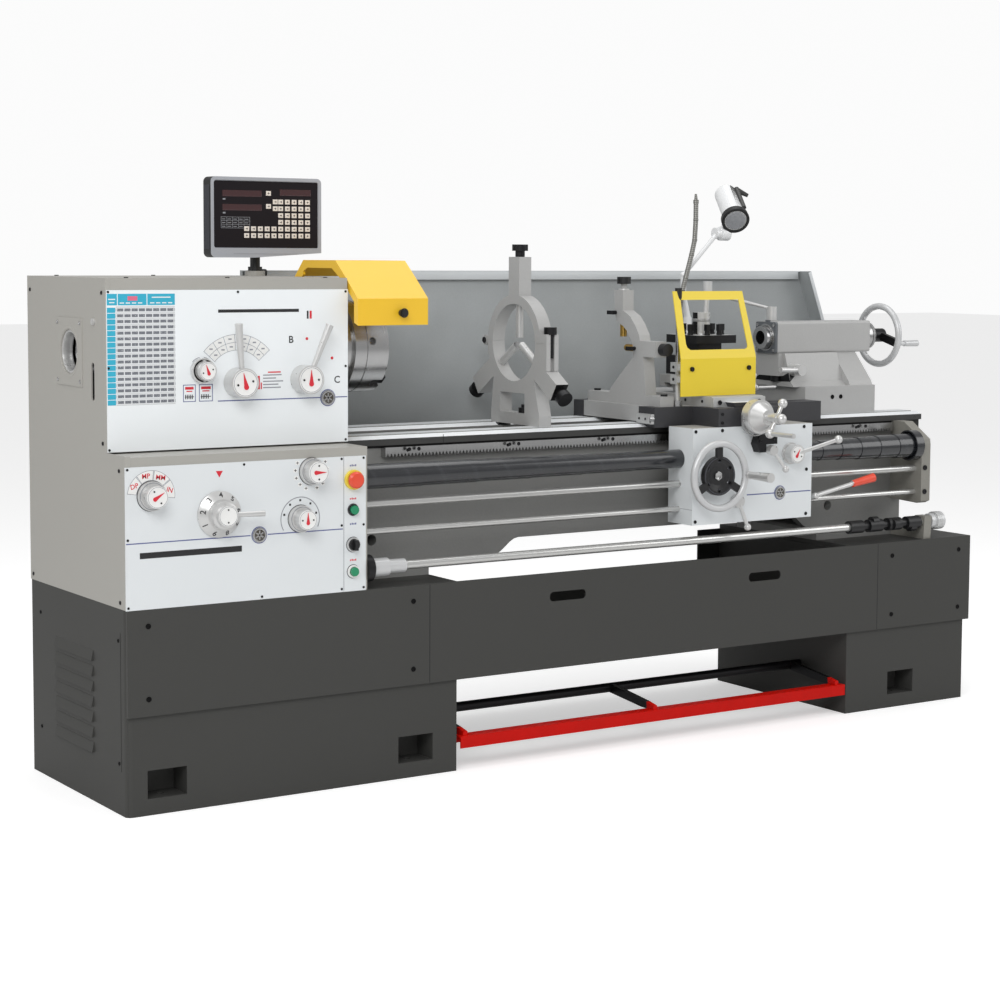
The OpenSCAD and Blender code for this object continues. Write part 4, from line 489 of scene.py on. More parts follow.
def finish_the_panels():
    """Silver front panels, the headstock's one lightened as painted light, the splash guard's folds,
    lightened as painted highlight, and the guards' knobs and hinges.
    """
    # the headstock's front panel: the silver paint, lightened as painted light
    paint("headstock_casing", HEAD_PANEL_PAINTED_LIGHT, in_box(y=(99, 102.9)))
    paint("gearbox_casing", PANEL_SILVER, in_box(y=(-1, 2.9)))
    paint("apron", PANEL_SILVER, in_box(y=(-9, 0.1)), lambda p, n: (
        abs(n[0]) > 0.9 and p[1] < 102 and p[2] < 778 and (p[0] < 1509 or 1894 < p[0] < 1898)))
    paint("apron", BLACK_STEEL, in_box(y=(-27, -0.1), x=(1690, 1760), z=(700, 760)))
    paint("apron", CHROME, in_round((FEED_LEVER[0], 0, FEED_LEVER[1]), 28.5, 1, (-5, -0.01)))
    # painted highlight: the splash guard's up-facing top folds and its folded front edges, lighter than the
    # sheet
    paint("splash_guard", RIM_PAINTED_HIGHLIGHT, lambda p, n: p[2] > 1142 and n[2] > 0.5,
          in_box(x=(-FAR, 2320), y=(-FAR, 556)), in_box(x=(2300, FAR), y=(-FAR, 510)))
    paint("chuck_guard", BLACK_PLASTIC, in_round((705, 0, 1073), 8.5, 1, (43, 63)))
    paint("chuck_guard", BRIGHT_STEEL, in_round((0, 430, 1098), 9, 0))
    post = (1553, 126, 0)
    paint("tool_guard", BRIGHT_STEEL, in_round(post, 6.6, 2), in_round(post, 13.5, 2, (800, 841)))
    paint("tool_guard", BLACK_PLASTIC, in_round(post, 9.6, 2, (1090, 1140)))
    paint("tool_guard", PLATE_LIGHT, in_box(y=(88, 142), z=(840, 950)))
    paint("tool_guard", BLACK_STEEL, in_box(y=(-FAR, 83.9), z=(915, 930)))
    paint("readout", BEZEL_SILVER, in_box(y=(400, 456)))
    paint("readout", BLACK_PLASTIC, in_box(y=(462, 490)))
    paint("end_cover", CHROME, in_round((0, 165, 1058), 7.5, 0, (-6, -0.5)))
    paint("foot_brake", BLACK_STEEL, lambda p, n: p[1] > 39)
    paint("foot_brake", TREAD_RED, lambda p, n: p[1] < 38.5 and n[2] > 0.7)
    paint("coolant_hose", LAMP_WHITE, in_box(z=(800, 1036)))
    paint("lamp", CLIP_ORANGE, in_box(x=(2008, 2060), z=(1360, 1420)))
    paint("lamp", BLACK_PLASTIC, lambda p, n: -14.5 < lamp_reach(p) < 0.5 and lamp_away(p) < 38.5)
    paint("lamp", DARK_GREY_AND_WAY_SHADE, in_box(x=(1984, FAR), z=(1334, FAR)))


def finish_the_bed_and_slides():
    """Ground ways, rack, painted shade on the front way's front faces and in the recess under the front way,
    and the machined and blackened places of the carriage.
    """
    low, high = (from_datum(c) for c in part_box("bed"))
    bed_top, way_front = high[2], low[1] + 12
    saddle_top = from_datum(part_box("saddle")[1])[2]
    # painted shade: the front faces of the front way, darker than its ground top
    paint("bed", DARK_GREY_AND_WAY_SHADE, in_box(y=(way_front - 1, way_front + 9), z=(bed_top - 48, bed_top)))
    paint("bed", GROUND_WAY, lambda p, n: p[2] > bed_top - 9 and n[2] > 0.4 and p[0] > 586)
    # painted shade in the recess under the front way, round the rack
    paint("bed", SEAM_DARK_AND_SHADE, in_box(y=(way_front - 13, way_front + 12), z=(bed_top - 49, bed_top - 27)))
    paint("bed", BRIGHT_STEEL, in_box(x=(700, 2300), y=(way_front - 14, way_front + 9.9),
                                      z=(bed_top - 50, bed_top - 25)))
    paint("saddle", WING_BLACK, in_box(y=(-1, way_front + 50)), in_box(y=(430, 520)))
    paint("saddle", PLATE_LIGHT, in_box(x=(1457, 1469.5)))
    paint("saddle", BRIGHT_STEEL, in_round((0, 119, bed_top + 14), 9.6, 0, (1440, 1470)))
    paint("saddle", CHROME, in_box(y=(-20, -1)))
    paint("saddle", GROUND_WAY, lambda p, n: (
        p[2] > max(saddle_top - 14, 827) and abs(p[0] - 1688) < 47 and p[1] > 10 and n[2] > -0.5))
    paint("cross_slide", PLATE_LIGHT, in_box(y=(30, 51.5)))
    paint("tool_post", PLATE_LIGHT, lambda p, n: n[2] > 0.9 and 1001 < p[2] < 1003)
    paint("tool_post", CHROME, in_round((1722, 243, 0), 24, 2, (1003, 1120)))
    paint("tool_post", LAMP_WHITE, in_round((1736, 240, 0), 13, 2, (1110, 1145)))


def finish_the_rests():
    """Fingers, lock screws and bolts of the steady and follow rests."""
    near_fingers = in_box(x=(STEADY_X - 10.5, STEADY_X + 10.5))
    for name in ("steady_base", "steady_top"):
        paint(name, CHROME, lambda p, n: off_axis(p) < 96 and near_fingers(p, n))
        paint(name, BRIGHT_STEEL, lambda p, n: off_axis(p) < 26 and near_fingers(p, n))
        paint(name, BLACK_STEEL, lambda p, n: off_axis(p) > 213.2 and p[2] > 830)
    paint("steady_top", BLACK_STEEL, in_round((STEADY_X, 161, 0), 5.5, 2),
          in_box(y=(150, 184), z=(1013.2, 1035)))
    paint("steady_base", BLACK_STEEL, in_box(y=(271, 299), z=(811, 835)), in_box(z=(700, 782)))
    paint("follow_rest", BLACK_PLASTIC, in_box(z=(1133, 1160)), in_box(y=(100, 130), z=(940, 1000)))
    paint("follow_rest", BLACK_STEEL, in_box(x=(1470, 1494.6)),
          in_box(y=(-FAR, 143), z=(852.5, 858)), in_box(y=(415, FAR), z=(852.5, 858)))
    paint("follow_rest", BRASS, in_round((FOLLOW_X, AXIS[0], 0), 9.3, 2, (990, 1035)),
          in_round((FOLLOW_X, 0, 970), 9.3, 1, (252, 300)))


def finish_the_turned_parts():
    """Machined, blackened and moulded places of the tailstock, wheels, rods, chuck and spindle, and painted
    shade inside the spindle's bore.
    """
    paint("tailstock", GRAPHITE, in_box(x=(1980, 1994.9)))
    paint("tailstock", BLACK_STEEL, in_box(x=(1994, 2026), z=(868, 884.5)))
    paint("tailstock", BRIGHT_STEEL, in_box(x=(2327.1, 2350)))
    paint("tailstock", BLACK_STEEL, in_box(z=(700, 782)))
    paint("tailstock", CHROME, in_round((2025, 0, 903), 17.5, 1, (205, 232)))
    hub = (HANDWHEEL[0], 0, HANDWHEEL[1])
    paint("carriage_handwheel", BLACK_PLASTIC, in_round(hub, 50.5, 1, (-46, 0)), lambda p, n: (
        50 < math.hypot(p[0] - hub[0], p[2] - hub[2]) < 72 and -45 < p[1] < -33))
    paint("carriage_handwheel", CHROME, lambda p, n: p[1] < -54.5)
    paint("tail_handwheel", BLACK_STEEL, in_round((0, *AXIS), 71, 0, (2340, FAR)))
    paint("tail_handwheel", CHROME, in_round((0, *AXIS), 20, 0, (2411, 2500)))
    paint("start_lever", FINISH["red_plastic"], lambda p, n: p[0] > 2042)
    paint("control_rod", BLACK_STEEL, in_box(x=(540, 565)))
    paint("stop_rod", BLACK_PLASTIC, in_box(x=(2030, 2300)))
    paint("stop_rod", LAMP_WHITE, in_box(x=(600, 691)), in_box(x=(2330, 2380)))
    paint("stop_rod", BLACK_STEEL, in_box(x=(583, 600.1)))
    paint("chuck", BLACK_STEEL, lambda p, n: n[0] > 0.9 and p[0] > 745)
    # painted shade inside the spindle's bore
    paint("spindle", SEAM_DARK_AND_SHADE, in_round((0, *AXIS), 30, 0))


# ---------------------------------------------------------------- modelling

TURN = {"x": (0, math.pi / 2, 0), "y": (math.pi / 2, 0, 0), "z": (0, 0, 0)}
OUTWARD = {"x": Vector((-1, 0, 0)), "y": Vector((0, -1, 0)), "z": Vector((0, 0, 1))}
LETTER_WEIGHT = 0.02
LETTER_SCALE = 1.4


def set_mode(mode):
    bpy.ops.object.mode_set(mode=mode)


def only(piece):
    """Selects one piece and makes it the active one."""
    if bpy.context.object and bpy.context.object.mode != "OBJECT":
        set_mode("OBJECT")
    bpy.ops.object.select_all(action="DESELECT")
    piece.select_set(True)
    bpy.context.view_layer.objects.active = piece


def settle(piece):
    """Puts a piece's place into its mesh."""
    only(piece)
    bpy.ops.object.transform_apply(location=True, rotation=True, scale=True)
    return piece


def named(name):
    """Takes up the blank that was just added, under its own name."""
    piece = bpy.context.object
    piece.name = name
    return piece


def choose(piece, kind, parts, test):
    """Goes into edit mode with only the faces or points that pass a test selected."""
    only(piece)
    set_mode("EDIT")
    bpy.ops.mesh.select_mode(type=kind)
    bpy.ops.mesh.select_all(action="DESELECT")
    set_mode("OBJECT")
    for part in parts:
        part.select = test(part)
    set_mode("EDIT")


def pick(piece, test):
    """Goes into edit mode with only the faces that pass test(centre, normal) selected."""
    choose(piece, "FACE", piece.data.polygons, lambda face: test(from_datum(face.center), face.normal))


def pick_points(piece, test):
    """Goes into edit mode with only the points that pass test(place) selected."""
    choose(piece, "VERT", piece.data.vertices, lambda point: test(from_datum(point.co)))


def carry(piece, matrix):
    """Turns and moves a finished blank, and keeps the new place in its mesh."""
    piece.matrix_world = matrix
    return settle(piece)


def turned_about(place, angle, axis):
    """A turn in degrees about an axis through a place in millimetres from the datum."""
    pivot, turn = at(*place), Matrix.Rotation(math.radians(angle), 4, axis)
    return Matrix.Translation(pivot) @ turn @ Matrix.Translation(-pivot)


def moved(place, turn):
    """A turn about the datum, and then a move from the datum to a place."""
    return Matrix.Translation(at(*place)) @ turn @ Matrix.Translation(-at(0, 0, 0))


def round_bar(name, centre, axis, radius, length, sides=40):
    """A round blank, centred at a place in millimetres from the datum."""
    bpy.ops.object.select_all(action="DESELECT")
    bpy.ops.mesh.primitive_cylinder_add(vertices=sides, radius=radius * MM, depth=length * MM,
                                        location=at(*centre), rotation=TURN[axis])
    return settle(named(name))


def block(name, low, high):
    """A square blank between two corners in millimetres from the datum."""
    bpy.ops.object.select_all(action="DESELECT")
    bpy.ops.mesh.primitive_cube_add(size=1, location=(at(*low) + at(*high)) / 2)
    piece = named(name)
    piece.scale = [(b - a) * MM for a, b in zip(low, high)]
    return settle(piece)


def apply_last(piece):
    bpy.ops.object.modifier_apply(modifier=piece.modifiers[-1].name)


def soften(piece, width=0.4, steps=2):
    """Rounds the sharp edges."""
    only(piece)
    bpy.ops.object.modifier_add(type="BEVEL")
    rounding = piece.modifiers[-1]
    rounding.width = width * MM
    rounding.segments = steps
    rounding.limit_method = "ANGLE"
    rounding.angle_limit = math.radians(40)
    apply_last(piece)
    bpy.ops.object.shade_smooth_by_angle(angle=math.radians(35))
    return piece


def step_face(piece, test, inset, depth):
    """Insets the chosen face and moves it out (or in, below zero), in millimetres."""
    pick(piece, test)
    bpy.ops.mesh.inset(thickness=inset * MM, depth=0)
    if depth:
        bpy.ops.mesh.extrude_region_shrink_fatten(TRANSFORM_OT_shrink_fatten={"value": depth * MM})
    set_mode("OBJECT")
    return piece


def front(place, normal):
    """The faces that look at the operator."""
    return normal[1] < -0.9


def front_middle(x, z):
    """The face that looks at the operator and has its middle at (x, z)."""
    return lambda p, n: front(p, n) and math.hypot(p[0] - x, p[2] - z) < 1


def sector(name, centre, axis, inner, outer, start, sweep, thickness, steps=24):
    """A flat piece of ring spun about a place; a full turn closes on itself."""
    bpy.ops.object.select_all(action="DESELECT")
    bpy.ops.mesh.primitive_plane_add(size=1)
    piece = named(name)
    set_mode("EDIT")
    bpy.ops.mesh.select_all(action="DESELECT")
    set_mode("OBJECT")
    for vertex in piece.data.vertices:
        vertex.select = vertex.co.y > 0
    set_mode("EDIT")
    bpy.ops.mesh.delete(type="VERT")
    bpy.ops.mesh.select_all(action="SELECT")
    bpy.ops.transform.resize(value=((outer - inner) * MM, 1, 1))
    bpy.ops.transform.translate(value=((outer + inner) / 2 * MM, 0.5, 0))
    bpy.ops.mesh.spin(steps=steps, angle=-math.radians(sweep), center=(0, 0, 0), axis=(0, 0, 1))
    bpy.ops.mesh.select_all(action="SELECT")
    bpy.ops.mesh.remove_doubles(threshold=0.00001)
    bpy.ops.mesh.normals_make_consistent(inside=False)
    set_mode("OBJECT")
    bpy.ops.object.modifier_add(type="SOLIDIFY")
    piece.modifiers[-1].thickness = thickness * MM
    piece.modifiers[-1].offset = 0
    apply_last(piece)
    set_mode("EDIT")
    bpy.ops.mesh.select_all(action="SELECT")
    bpy.ops.mesh.normals_make_consistent(inside=False)
    set_mode("OBJECT")
    return carry(piece, Matrix.Translation(at(*centre)) @ Matrix.Rotation(TURN[axis][0], 4, "X")
                 @ Matrix.Rotation(TURN[axis][1], 4, "Y") @ Matrix.Rotation(math.radians(start), 4, "Z"))


def copy_to(piece, offset):
    """A copy with its own mesh, moved by an offset in millimetres."""
    only(piece)
    bpy.ops.object.duplicate(linked=False)
    copied = bpy.context.object
    copied.location = [v * MM for v in offset]
    return settle(copied)


def join(name, parts):
    bpy.ops.object.select_all(action="DESELECT")
    for piece in parts:
        piece.select_set(True)
    bpy.context.view_layer.objects.active = parts[0]
    bpy.ops.object.join()
    return named(name)


def fit(piece, body, slot, material=None):
    """Finishes a piece and hangs it on a body; without a material it takes the slot's own."""
    piece.data.materials.clear()
    piece.data.materials.append(material or FINISH[slot])
    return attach(piece, body)


def ring(name, centre, axis, inner, outer, thickness, body, slot, material=None, soft=0.5, steps=48):
    """A closed ring with rounded edges, fitted to a body; soft=0 leaves its edges sharp."""
    piece = sector(name, centre, axis, inner, outer, 0, 360, thickness, steps)
    return fit(soften(piece, soft) if soft else piece, body, slot, material)


def mark(text, place, height, turn=0, depth=0.25):
    """Raised printing that faces the operator; turn is clockwise in degrees."""
    bpy.ops.object.select_all(action="DESELECT")
    bpy.ops.object.text_add()
    letters = bpy.context.object.data
    letters.body = text
    letters.size = height * LETTER_SCALE * MM
    letters.extrude = depth * MM / 2
    letters.resolution_u = 3
    letters.offset = height * LETTER_WEIGHT * MM
    letters.align_x = letters.align_y = "CENTER"
    bpy.ops.object.convert(target="MESH")
    return carry(bpy.context.object, Matrix.Translation(at(*place)) @ Matrix.Rotation(
        math.radians(turn), 4, "Y") @ Matrix.Rotation(math.pi / 2, 4, "X"))


def screws(name, body, places, axis, radius, height, slot="black_steel", material=None, socket=0.55):
    """Socket-head screws: one is modelled, the rest are copies. Places are centres of the heads' seats."""
    out = OUTWARD[axis]
    first = Vector(places[0])
    head = round_bar(name, first + out * height / 2, axis, radius, height, 20)
    face = first + out * height
    step_face(head, lambda p, n: n.dot(out) > 0.9 and (p - face).length < 1,
              radius * (1 - socket), -height * 0.6)
    soften(head, min(0.5, radius * 0.14))
    group = [head] + [copy_to(head, Vector(p) - first) for p in places[1:]]
    return fit(join(name, group), body, slot, material)


def plates(name, boxes, body, slot, material=None, width=0.2):
    """Thin plates of one finish with softened edges, joined into one piece."""
    parts = [soften(block(name, low, high), min(width, min(b - a for a, b in zip(low, high)) * 0.35), 1)
             for low, high in boxes]
    return fit(join(name, parts), body, slot, material)


def plate(name, box, body, slot, material=None):
    """One thin printed or fixed plate."""
    return plates(name, [box], body, slot, material, 0.3)


def strip(name, low, high, body, slot, material=None, soft=0.2, steps=2):
    """One block with rounded edges, fitted to a body."""
    return fit(soften(block(name, low, high), soft, steps), body, slot, material)


def flat(x0, x1, z0, z1, face, rise=0.35):
    """Corners of a thin plate standing off a front face, sunk a little into it."""
    return (x0, face - rise, z0), (x1, face + 0.25, z1)


def round_place(centre, reach, angle):
    """The place at an angle on a circle round (x, z)."""
    a = math.radians(angle)
    return centre[0] + reach * math.cos(a), centre[1] + reach * math.sin(a)


def sight_glass(name, x, z, face, radius, body):
    """Oil sight glass: stepped bright rim, amber window and a cast star behind it."""
    rim = round_bar(name + "_rim", (x, face - 1.6, z), "y", radius, 3.4, 48)
    rim_front = face - 3.3
    step_face(rim, front, radius * 0.16, 0)
    step_face(rim, lambda p, n: front_middle(x, z)(p, n) and p[1] < rim_front + 0.1, radius * 0.1, -1.6)
    fit(soften(rim, 0.5), body, "bright_steel")
    ring(name + "_outline", (x, face - 0.15, z), "y", radius + 0.6, radius + 2.4, 0.5,
         body, "motor_blue", PRINT_BLUE, 0)
    window = round_bar(name + "_window", (x, face - 1.55, z), "y", radius * 0.74, 1.0, 40)
    step_face(window, front, radius * 0.2, 0.25)
    fit(soften(window, 0.2), body, "bright_steel", SIGHT_OIL)
    rays = []
    thin, long = radius * 0.1, radius * 0.62
    for turn in range(6):
        ray = block(name + "_star", (x - thin, face - 2.6, z), (x + thin, face - 2.2, z + long))
        rays.append(soften(carry(ray, turned_about((x, 0, z), turn * 60, "Y")), 0.12, 1))
    fit(join(name + "_star", rays), body, "bright_steel")


def teardrop(name, centre, face, length, width, turn, body, material, drop_back):
    """Pointer drop on a knob face: a disc with one edge drawn out to a point."""
    x, z = centre
    drop = round_bar(name, (x, face - 0.25, z), "y", width / 2, 0.9, 24)
    half = width / 2
    for row in range(6, 0, -1):
        rise = math.sin(math.radians(15 * row))
        pick_points(drop, lambda p: abs(p[2] - z - rise * half) < 0.01)
        if row < 6:
            narrow = (1 - rise ** 2 * 0.5) * (1 - rise * 0.35)
            bpy.ops.transform.resize(value=(narrow, 1, 1), center_override=at(x, face, z))
        bpy.ops.transform.translate(value=(0, 0, (rise ** 1.6 * length - rise * half) * MM))
        set_mode("OBJECT")
    carry(drop, turned_about((x, 0, z), turn, "Y") @ Matrix.Translation((0, 0, -drop_back * MM)))
    return fit(soften(drop, 0.15, 1), body, "red_plastic", material)


def knob_face(name, centre, seat, face, radius, body, turn, pointer=0.62):
    """White face of a knob: dished cap, thin dark rim line, two screws and a red pointer."""
    x, z = centre
    cap = round_bar(name + "_face", (x, (seat + face) / 2 + 0.1, z), "y", radius, seat - face + 0.2, 64)
    step_face(cap, front, radius * 0.1, 0)
    step_face(cap, front_middle(x, z), radius * 0.02, -0.3)
    fit(soften(cap, 0.15), body, "chrome", WHITE_FACE)
    ring(name + "_rim_line", (x, face - 0.02, z), "y", radius * 0.91, radius * 0.95, 0.25,
         body, "black_plastic", GREY_PRINT_AND_SHADE, 0, 64)
    spots = [round_place(centre, side * radius * 0.62, -turn) for side in (-1, 1)]
    screws(name + "_screws", body, [(a, face + 0.3, c) for a, c in spots], "y", radius * 0.085, 0.9)
    if pointer:
        teardrop(name + "_pointer", centre, face + 0.2, radius * 1.75 * pointer, radius * 0.4, turn,
                 body, PRINT_RED, radius * 0.3)


# ---------------------------------------------------------------- headstock panel

BLACK_INK, RED_INK, BLUE_INK = (("black_plastic", PRINT_BLACK), ("red_plastic", PRINT_RED),
                                ("motor_blue", PRINT_BLUE))
GREY_INK_AND_SHADE, GREY_LINE, WHITE_CELL = (("black_plastic", GREY_PRINT_AND_SHADE), ("panel_silver", GREY_PRINT_AND_SHADE),
                                   ("panel_silver", WHITE_FACE))


def add_headstock_panel():
    """Front panel of the headstock: gear chart, speed fan, marks, screws, knob skirt and sight glass."""
    face, body = 100.0, "base"
    # change gear chart: blue head and side column, rows of small printing
    cells = [(3, 26, 1094.5, 1119), (28, 94, 1094.5, 1119), (96, 160, 1094.5, 1119)]
    cells += [(3, 22, 880 + 12.4 * i, 891 + 12.4 * i) for i in range(17)]
    plates("chart_head_and_column", [flat(*cell, face) for cell in cells], body, "panel_silver", PRINT_CYAN)
    plate("chart_head_patch", flat(50, 73, 1104, 1114, face, 0.5), body, "red_plastic", PRINT_PINK)
    lines = [(x + 14 * i, x + 14 * i + 10, 1098, 1100.5) for x in (32, 102) for i in range(4)]
    lines += [(106, 150, 1110, 1112.5), (6, 22, 1106, 1108.5), (8, 20, 1099, 1101.5)]
    plates("chart_head_lines", [flat(*line, face, 0.5) for line in lines], body, *WHITE_CELL)
    plate("chart_ground", flat(23, 160, 879, 1093, face, 0.2), body, "panel_silver", CHART_ROWS)
    # speed marks
    plate("name_bar", flat(263, 462, 1076.5, 1083.5, face), body, *BLACK_INK)
    plate("short_black_bar", flat(482, 486.5, 1061, 1079, face), body, *BLACK_INK)
    plate("short_red_bar", flat(489, 494.5, 1061, 1079, face), body, *RED_INK)
    for letter, x, z in (("B", 442, 1014), ("A", 518, 1004), ("C", 559, 921)):
        fit(mark(letter, (x, face - 0.1, z), 16), body, *BLACK_INK)
    dots = [soften(round_bar("range_dots", (x, face - 0.1, z), "y", 3.4, 0.7, 20), 0.15, 1)
            for x, z in ((482, 1016), (546, 971))]
    fit(join("range_dots", dots), body, *RED_INK)
    # fan scale over the speed lever
    x, z = SPEED_LEVER
    bands = [sector("speed_fan_cells", (x, face - 0.05, z), "y", inner, inner + 16, start, 13.6, 0.4, 6)
             for inner in (72, 89.5) for start in (42, 57, 72.5, 93.5, 109, 124)]
    fit(join("speed_fan_cells", bands), body, *WHITE_CELL)
    hub = (x, face - 0.1, z)
    lines = [sector("speed_fan_lines", hub, "y", r, r + 0.9, 41, 98, 0.5, 32) for r in (71, 88.3, 105.8)]
    lines += [sector("speed_fan_lines", hub, "y", 71, 106.7, start, 0.6, 0.5, 2)
              for start in (41, 56.2, 71.2, 86.8, 92.6, 107.8, 122.8, 138.6)]
    fit(join("speed_fan_lines", lines), body, *GREY_LINE)
    spots = [round_place(SPEED_LEVER, reach, angle) for reach in (80, 97.5)
             for angle in (49, 64, 79, 100, 115, 130)]
    figures = [block("speed_fan_figures", (a - 4, face - 0.4, c - 1.6), (a + 4, face + 0.2, c + 1.6))
               for a, c in spots]
    fit(join("speed_fan_figures", figures), body, *GREY_LINE)
    # red notice mark and its lines
    plate("notice_mark", flat(359, 364, 905, 935, face), body, *RED_INK)
    plate("notice_tick", flat(366, 369, 905, 920, face), body, *RED_INK)
    plates("notice_lines", [flat(372, 372 + w, 907 + 7 * i, 909.6 + 7 * i, face)
                            for i, w in enumerate((44, 38, 50, 32, 46))], body, *GREY_LINE)
    plate("notice_heading", flat(384, 416, 941, 944, face), body, *RED_INK)
    # two feed direction squares
    for tag, x0, x1 in (("left", 178, 208), ("right", 216, 249)):
        outline = [(x0, x1, 882, 883.6), (x0, x1, 918.4, 920),
                   (x0, x0 + 1.6, 882, 920), (x1 - 1.6, x1, 882, 920)]
        plates(f"{tag}_square_outline", [flat(*line, face) for line in outline], body, *BLUE_INK)
        plates(f"{tag}_square_bars", [
            flat(x0 + 5, x1 - 5, 909, 915, face), flat(x0 + 8, x1 - 8, 904, 906.4, face)], body, *RED_INK)
        thread = [flat(x0 + 5 + 4 * i, x0 + 7 + 4 * i, 888, 898, face) for i in range(5)]
        plates(f"{tag}_square_screw", thread + [flat(x0 + 4, x1 - 4, 892.2, 893.8, face)], body, *BLACK_INK)
    plate("blue_line_headstock", flat(261, 516, 880.6, 883, face), body, *BLUE_INK)
    plate("blue_line_headstock_end", flat(555, 585, 880.6, 883, face), body, *BLUE_INK)
    sight_glass("headstock_sight_glass", 535, 881, face, 17, body)
    screws("headstock_panel_screws", body, [(x, face, z) for x, z in (
        (5.5, 1123), (311, 1122), (581, 1122), (5.5, 960), (581, 952), (581, 784), (5.5, 784))],
        "y", 2.8, 1.2, socket=0.5)
    # direction knob: its skirt and the two arcs round it
    x, z = DIRECTION_KNOB
    ring("direction_knob_skirt", (x, 93.4, z), "y", 20.6, 28, 11.6, "direction_knob", "chrome", soft=0.8)
    arcs = [sector("direction_marks", (x, face - 0.1, z), "y", 29, 30.2, start, 40, 0.5, 10)
            for start in (100, 40)]
    fit(join("direction_marks", arcs), body, *GREY_INK_AND_SHADE)


# ---------------------------------------------------------------- gearbox panel

def add_thread_scale(face, body):
    """Four white segments with grey edges and their letters, over the thread knob."""
    x, z = THREAD_KNOB
    starts, sweep = (-7, 38.5, 84, 129.5), 43
    white = [sector("thread_scale_cells", (x, face - 0.05, z), "y", 34, 54, start, sweep, 0.4, 12)
             for start in starts]
    fit(join("thread_scale_cells", white), body, *WHITE_CELL)
    hub = (x, face - 0.1, z)
    edges = [sector("thread_scale_edges", hub, "y", inner, outer, start + skip, width, 0.5, steps)
             for start in starts for inner, outer, skip, width, steps in (
                 (54, 54.9, 0, sweep, 12), (33.4, 34.2, 0, sweep, 12),
                 (33.4, 54.9, -0.6, 1.2, 1), (33.4, 54.9, sweep - 0.6, 1.2, 1))]
    fit(join("thread_scale_edges", edges), body, *GREY_LINE)
    for word, angle in (("IN", 14), ("MM", 60), ("MP", 105.5), ("DP", 150)):
        a, c = round_place(THREAD_KNOB, 44, angle)
        fit(mark(word, (a, face - 0.3, c), 10.5, (90 - angle) * 0.25), body, *RED_INK)


def add_feed_knob_marks(face, body):
    """Arc and black squares round the lower feed knob, white squares with a cross round the upper one."""
    x, z = LOWER_KNOB
    fit(sector("lower_knob_arc", (x, face - 0.1, z), "y", 47, 49, -25, 235, 0.5, 40), body, *GREY_INK_AND_SHADE)
    spots = [round_place(LOWER_KNOB, 41, angle) for angle in (15, 52, 90, 128, 165)]
    plates("lower_knob_marks", [flat(a - 2.4, a + 2.4, c - 2.4, c + 2.4, face) for a, c in spots],
           body, *BLACK_INK)
    squares, crosses = [], []
    for angle in (-70, -45, -20, 5, 30, 150, 175, 200, 225, 250):
        a, c = round_place(UPPER_KNOB, 40, angle)
        if c < 750 and a < 516:
            squares.append(flat(a - 5, a + 5, c - 4.4, c + 4.4, face, 0.25))
            crosses += [flat(a - 3.4, a + 3.4, c - 0.6, c + 0.8, face, 0.45),
                        flat(a - 0.8, a + 0.8, c - 3, c + 3, face, 0.45)]
    plates("upper_knob_squares", squares, body, *WHITE_CELL)
    plates("upper_knob_signs", crosses, body, *BLACK_INK)
    for name, (x, z), radius in (("thread_knob", THREAD_KNOB, 33.2), ("upper_knob", UPPER_KNOB, 31.2),
                                 ("lower_knob", LOWER_KNOB, 31.2)):
        seat = round_bar(f"{name}_seat", (x, face - 0.1, z), "y", radius, 0.8, 48)
        fit(soften(seat, 0.2, 1), body, *BLACK_INK)


def add_button_column(face, body):
    """Labels over the buttons, their bezels with a thin ring of painted shadow round each, and the yellow
    round base of the stop button.
    """
    for tag, z, ink in (("stop", 732, BLUE_INK), ("start", 657, RED_INK),
                        ("mode", 600, BLUE_INK), ("jog", 518, RED_INK)):
        strokes = [flat(537 + 4.4 * i, 540 + 4.4 * i, z, z + 3.4 + (i % 2) * 0.8, face) for i in range(4)]
        plates(f"{tag}_button_label", strokes, body, *ink)
    stop_z = 702
    base = round_bar("stop_base", (BUTTON_X, face - 4.2, stop_z), "y", 22.5, 9.2, 48)
    step_face(base, front, 4.5, 0)
    step_face(base, front_middle(BUTTON_X, stop_z), 0.6, -1.2)
    fit(soften(base, 0.6), body, "guard_yellow", BEZEL_YELLOW)
    for name, z, radius, width, slot, look in (("start", 634, 12.8, 2.4, "black_plastic", BLACK_PLASTIC),
                                               ("mode", 555, 16.4, 3.6, "chrome", CHROME),
                                               ("jog", 494, 14.6, 4.2, "lamp_white", WHITE_FACE)):
        ring(f"{name}_bezel", (BUTTON_X, face - 2.6, z), "y", radius - width, radius, 5.4,
             body, slot, look, 0.9)
        # a thin dark ring on the panel round each bezel: painted shadow at its foot
        ring(f"{name}_bezel_line", (BUTTON_X, face - 0.2, z), "y", radius + 0.2, radius + 1.3, 0.5,
             body, "black_plastic", CASE_DARK_AND_SHADE_LINE, 0)


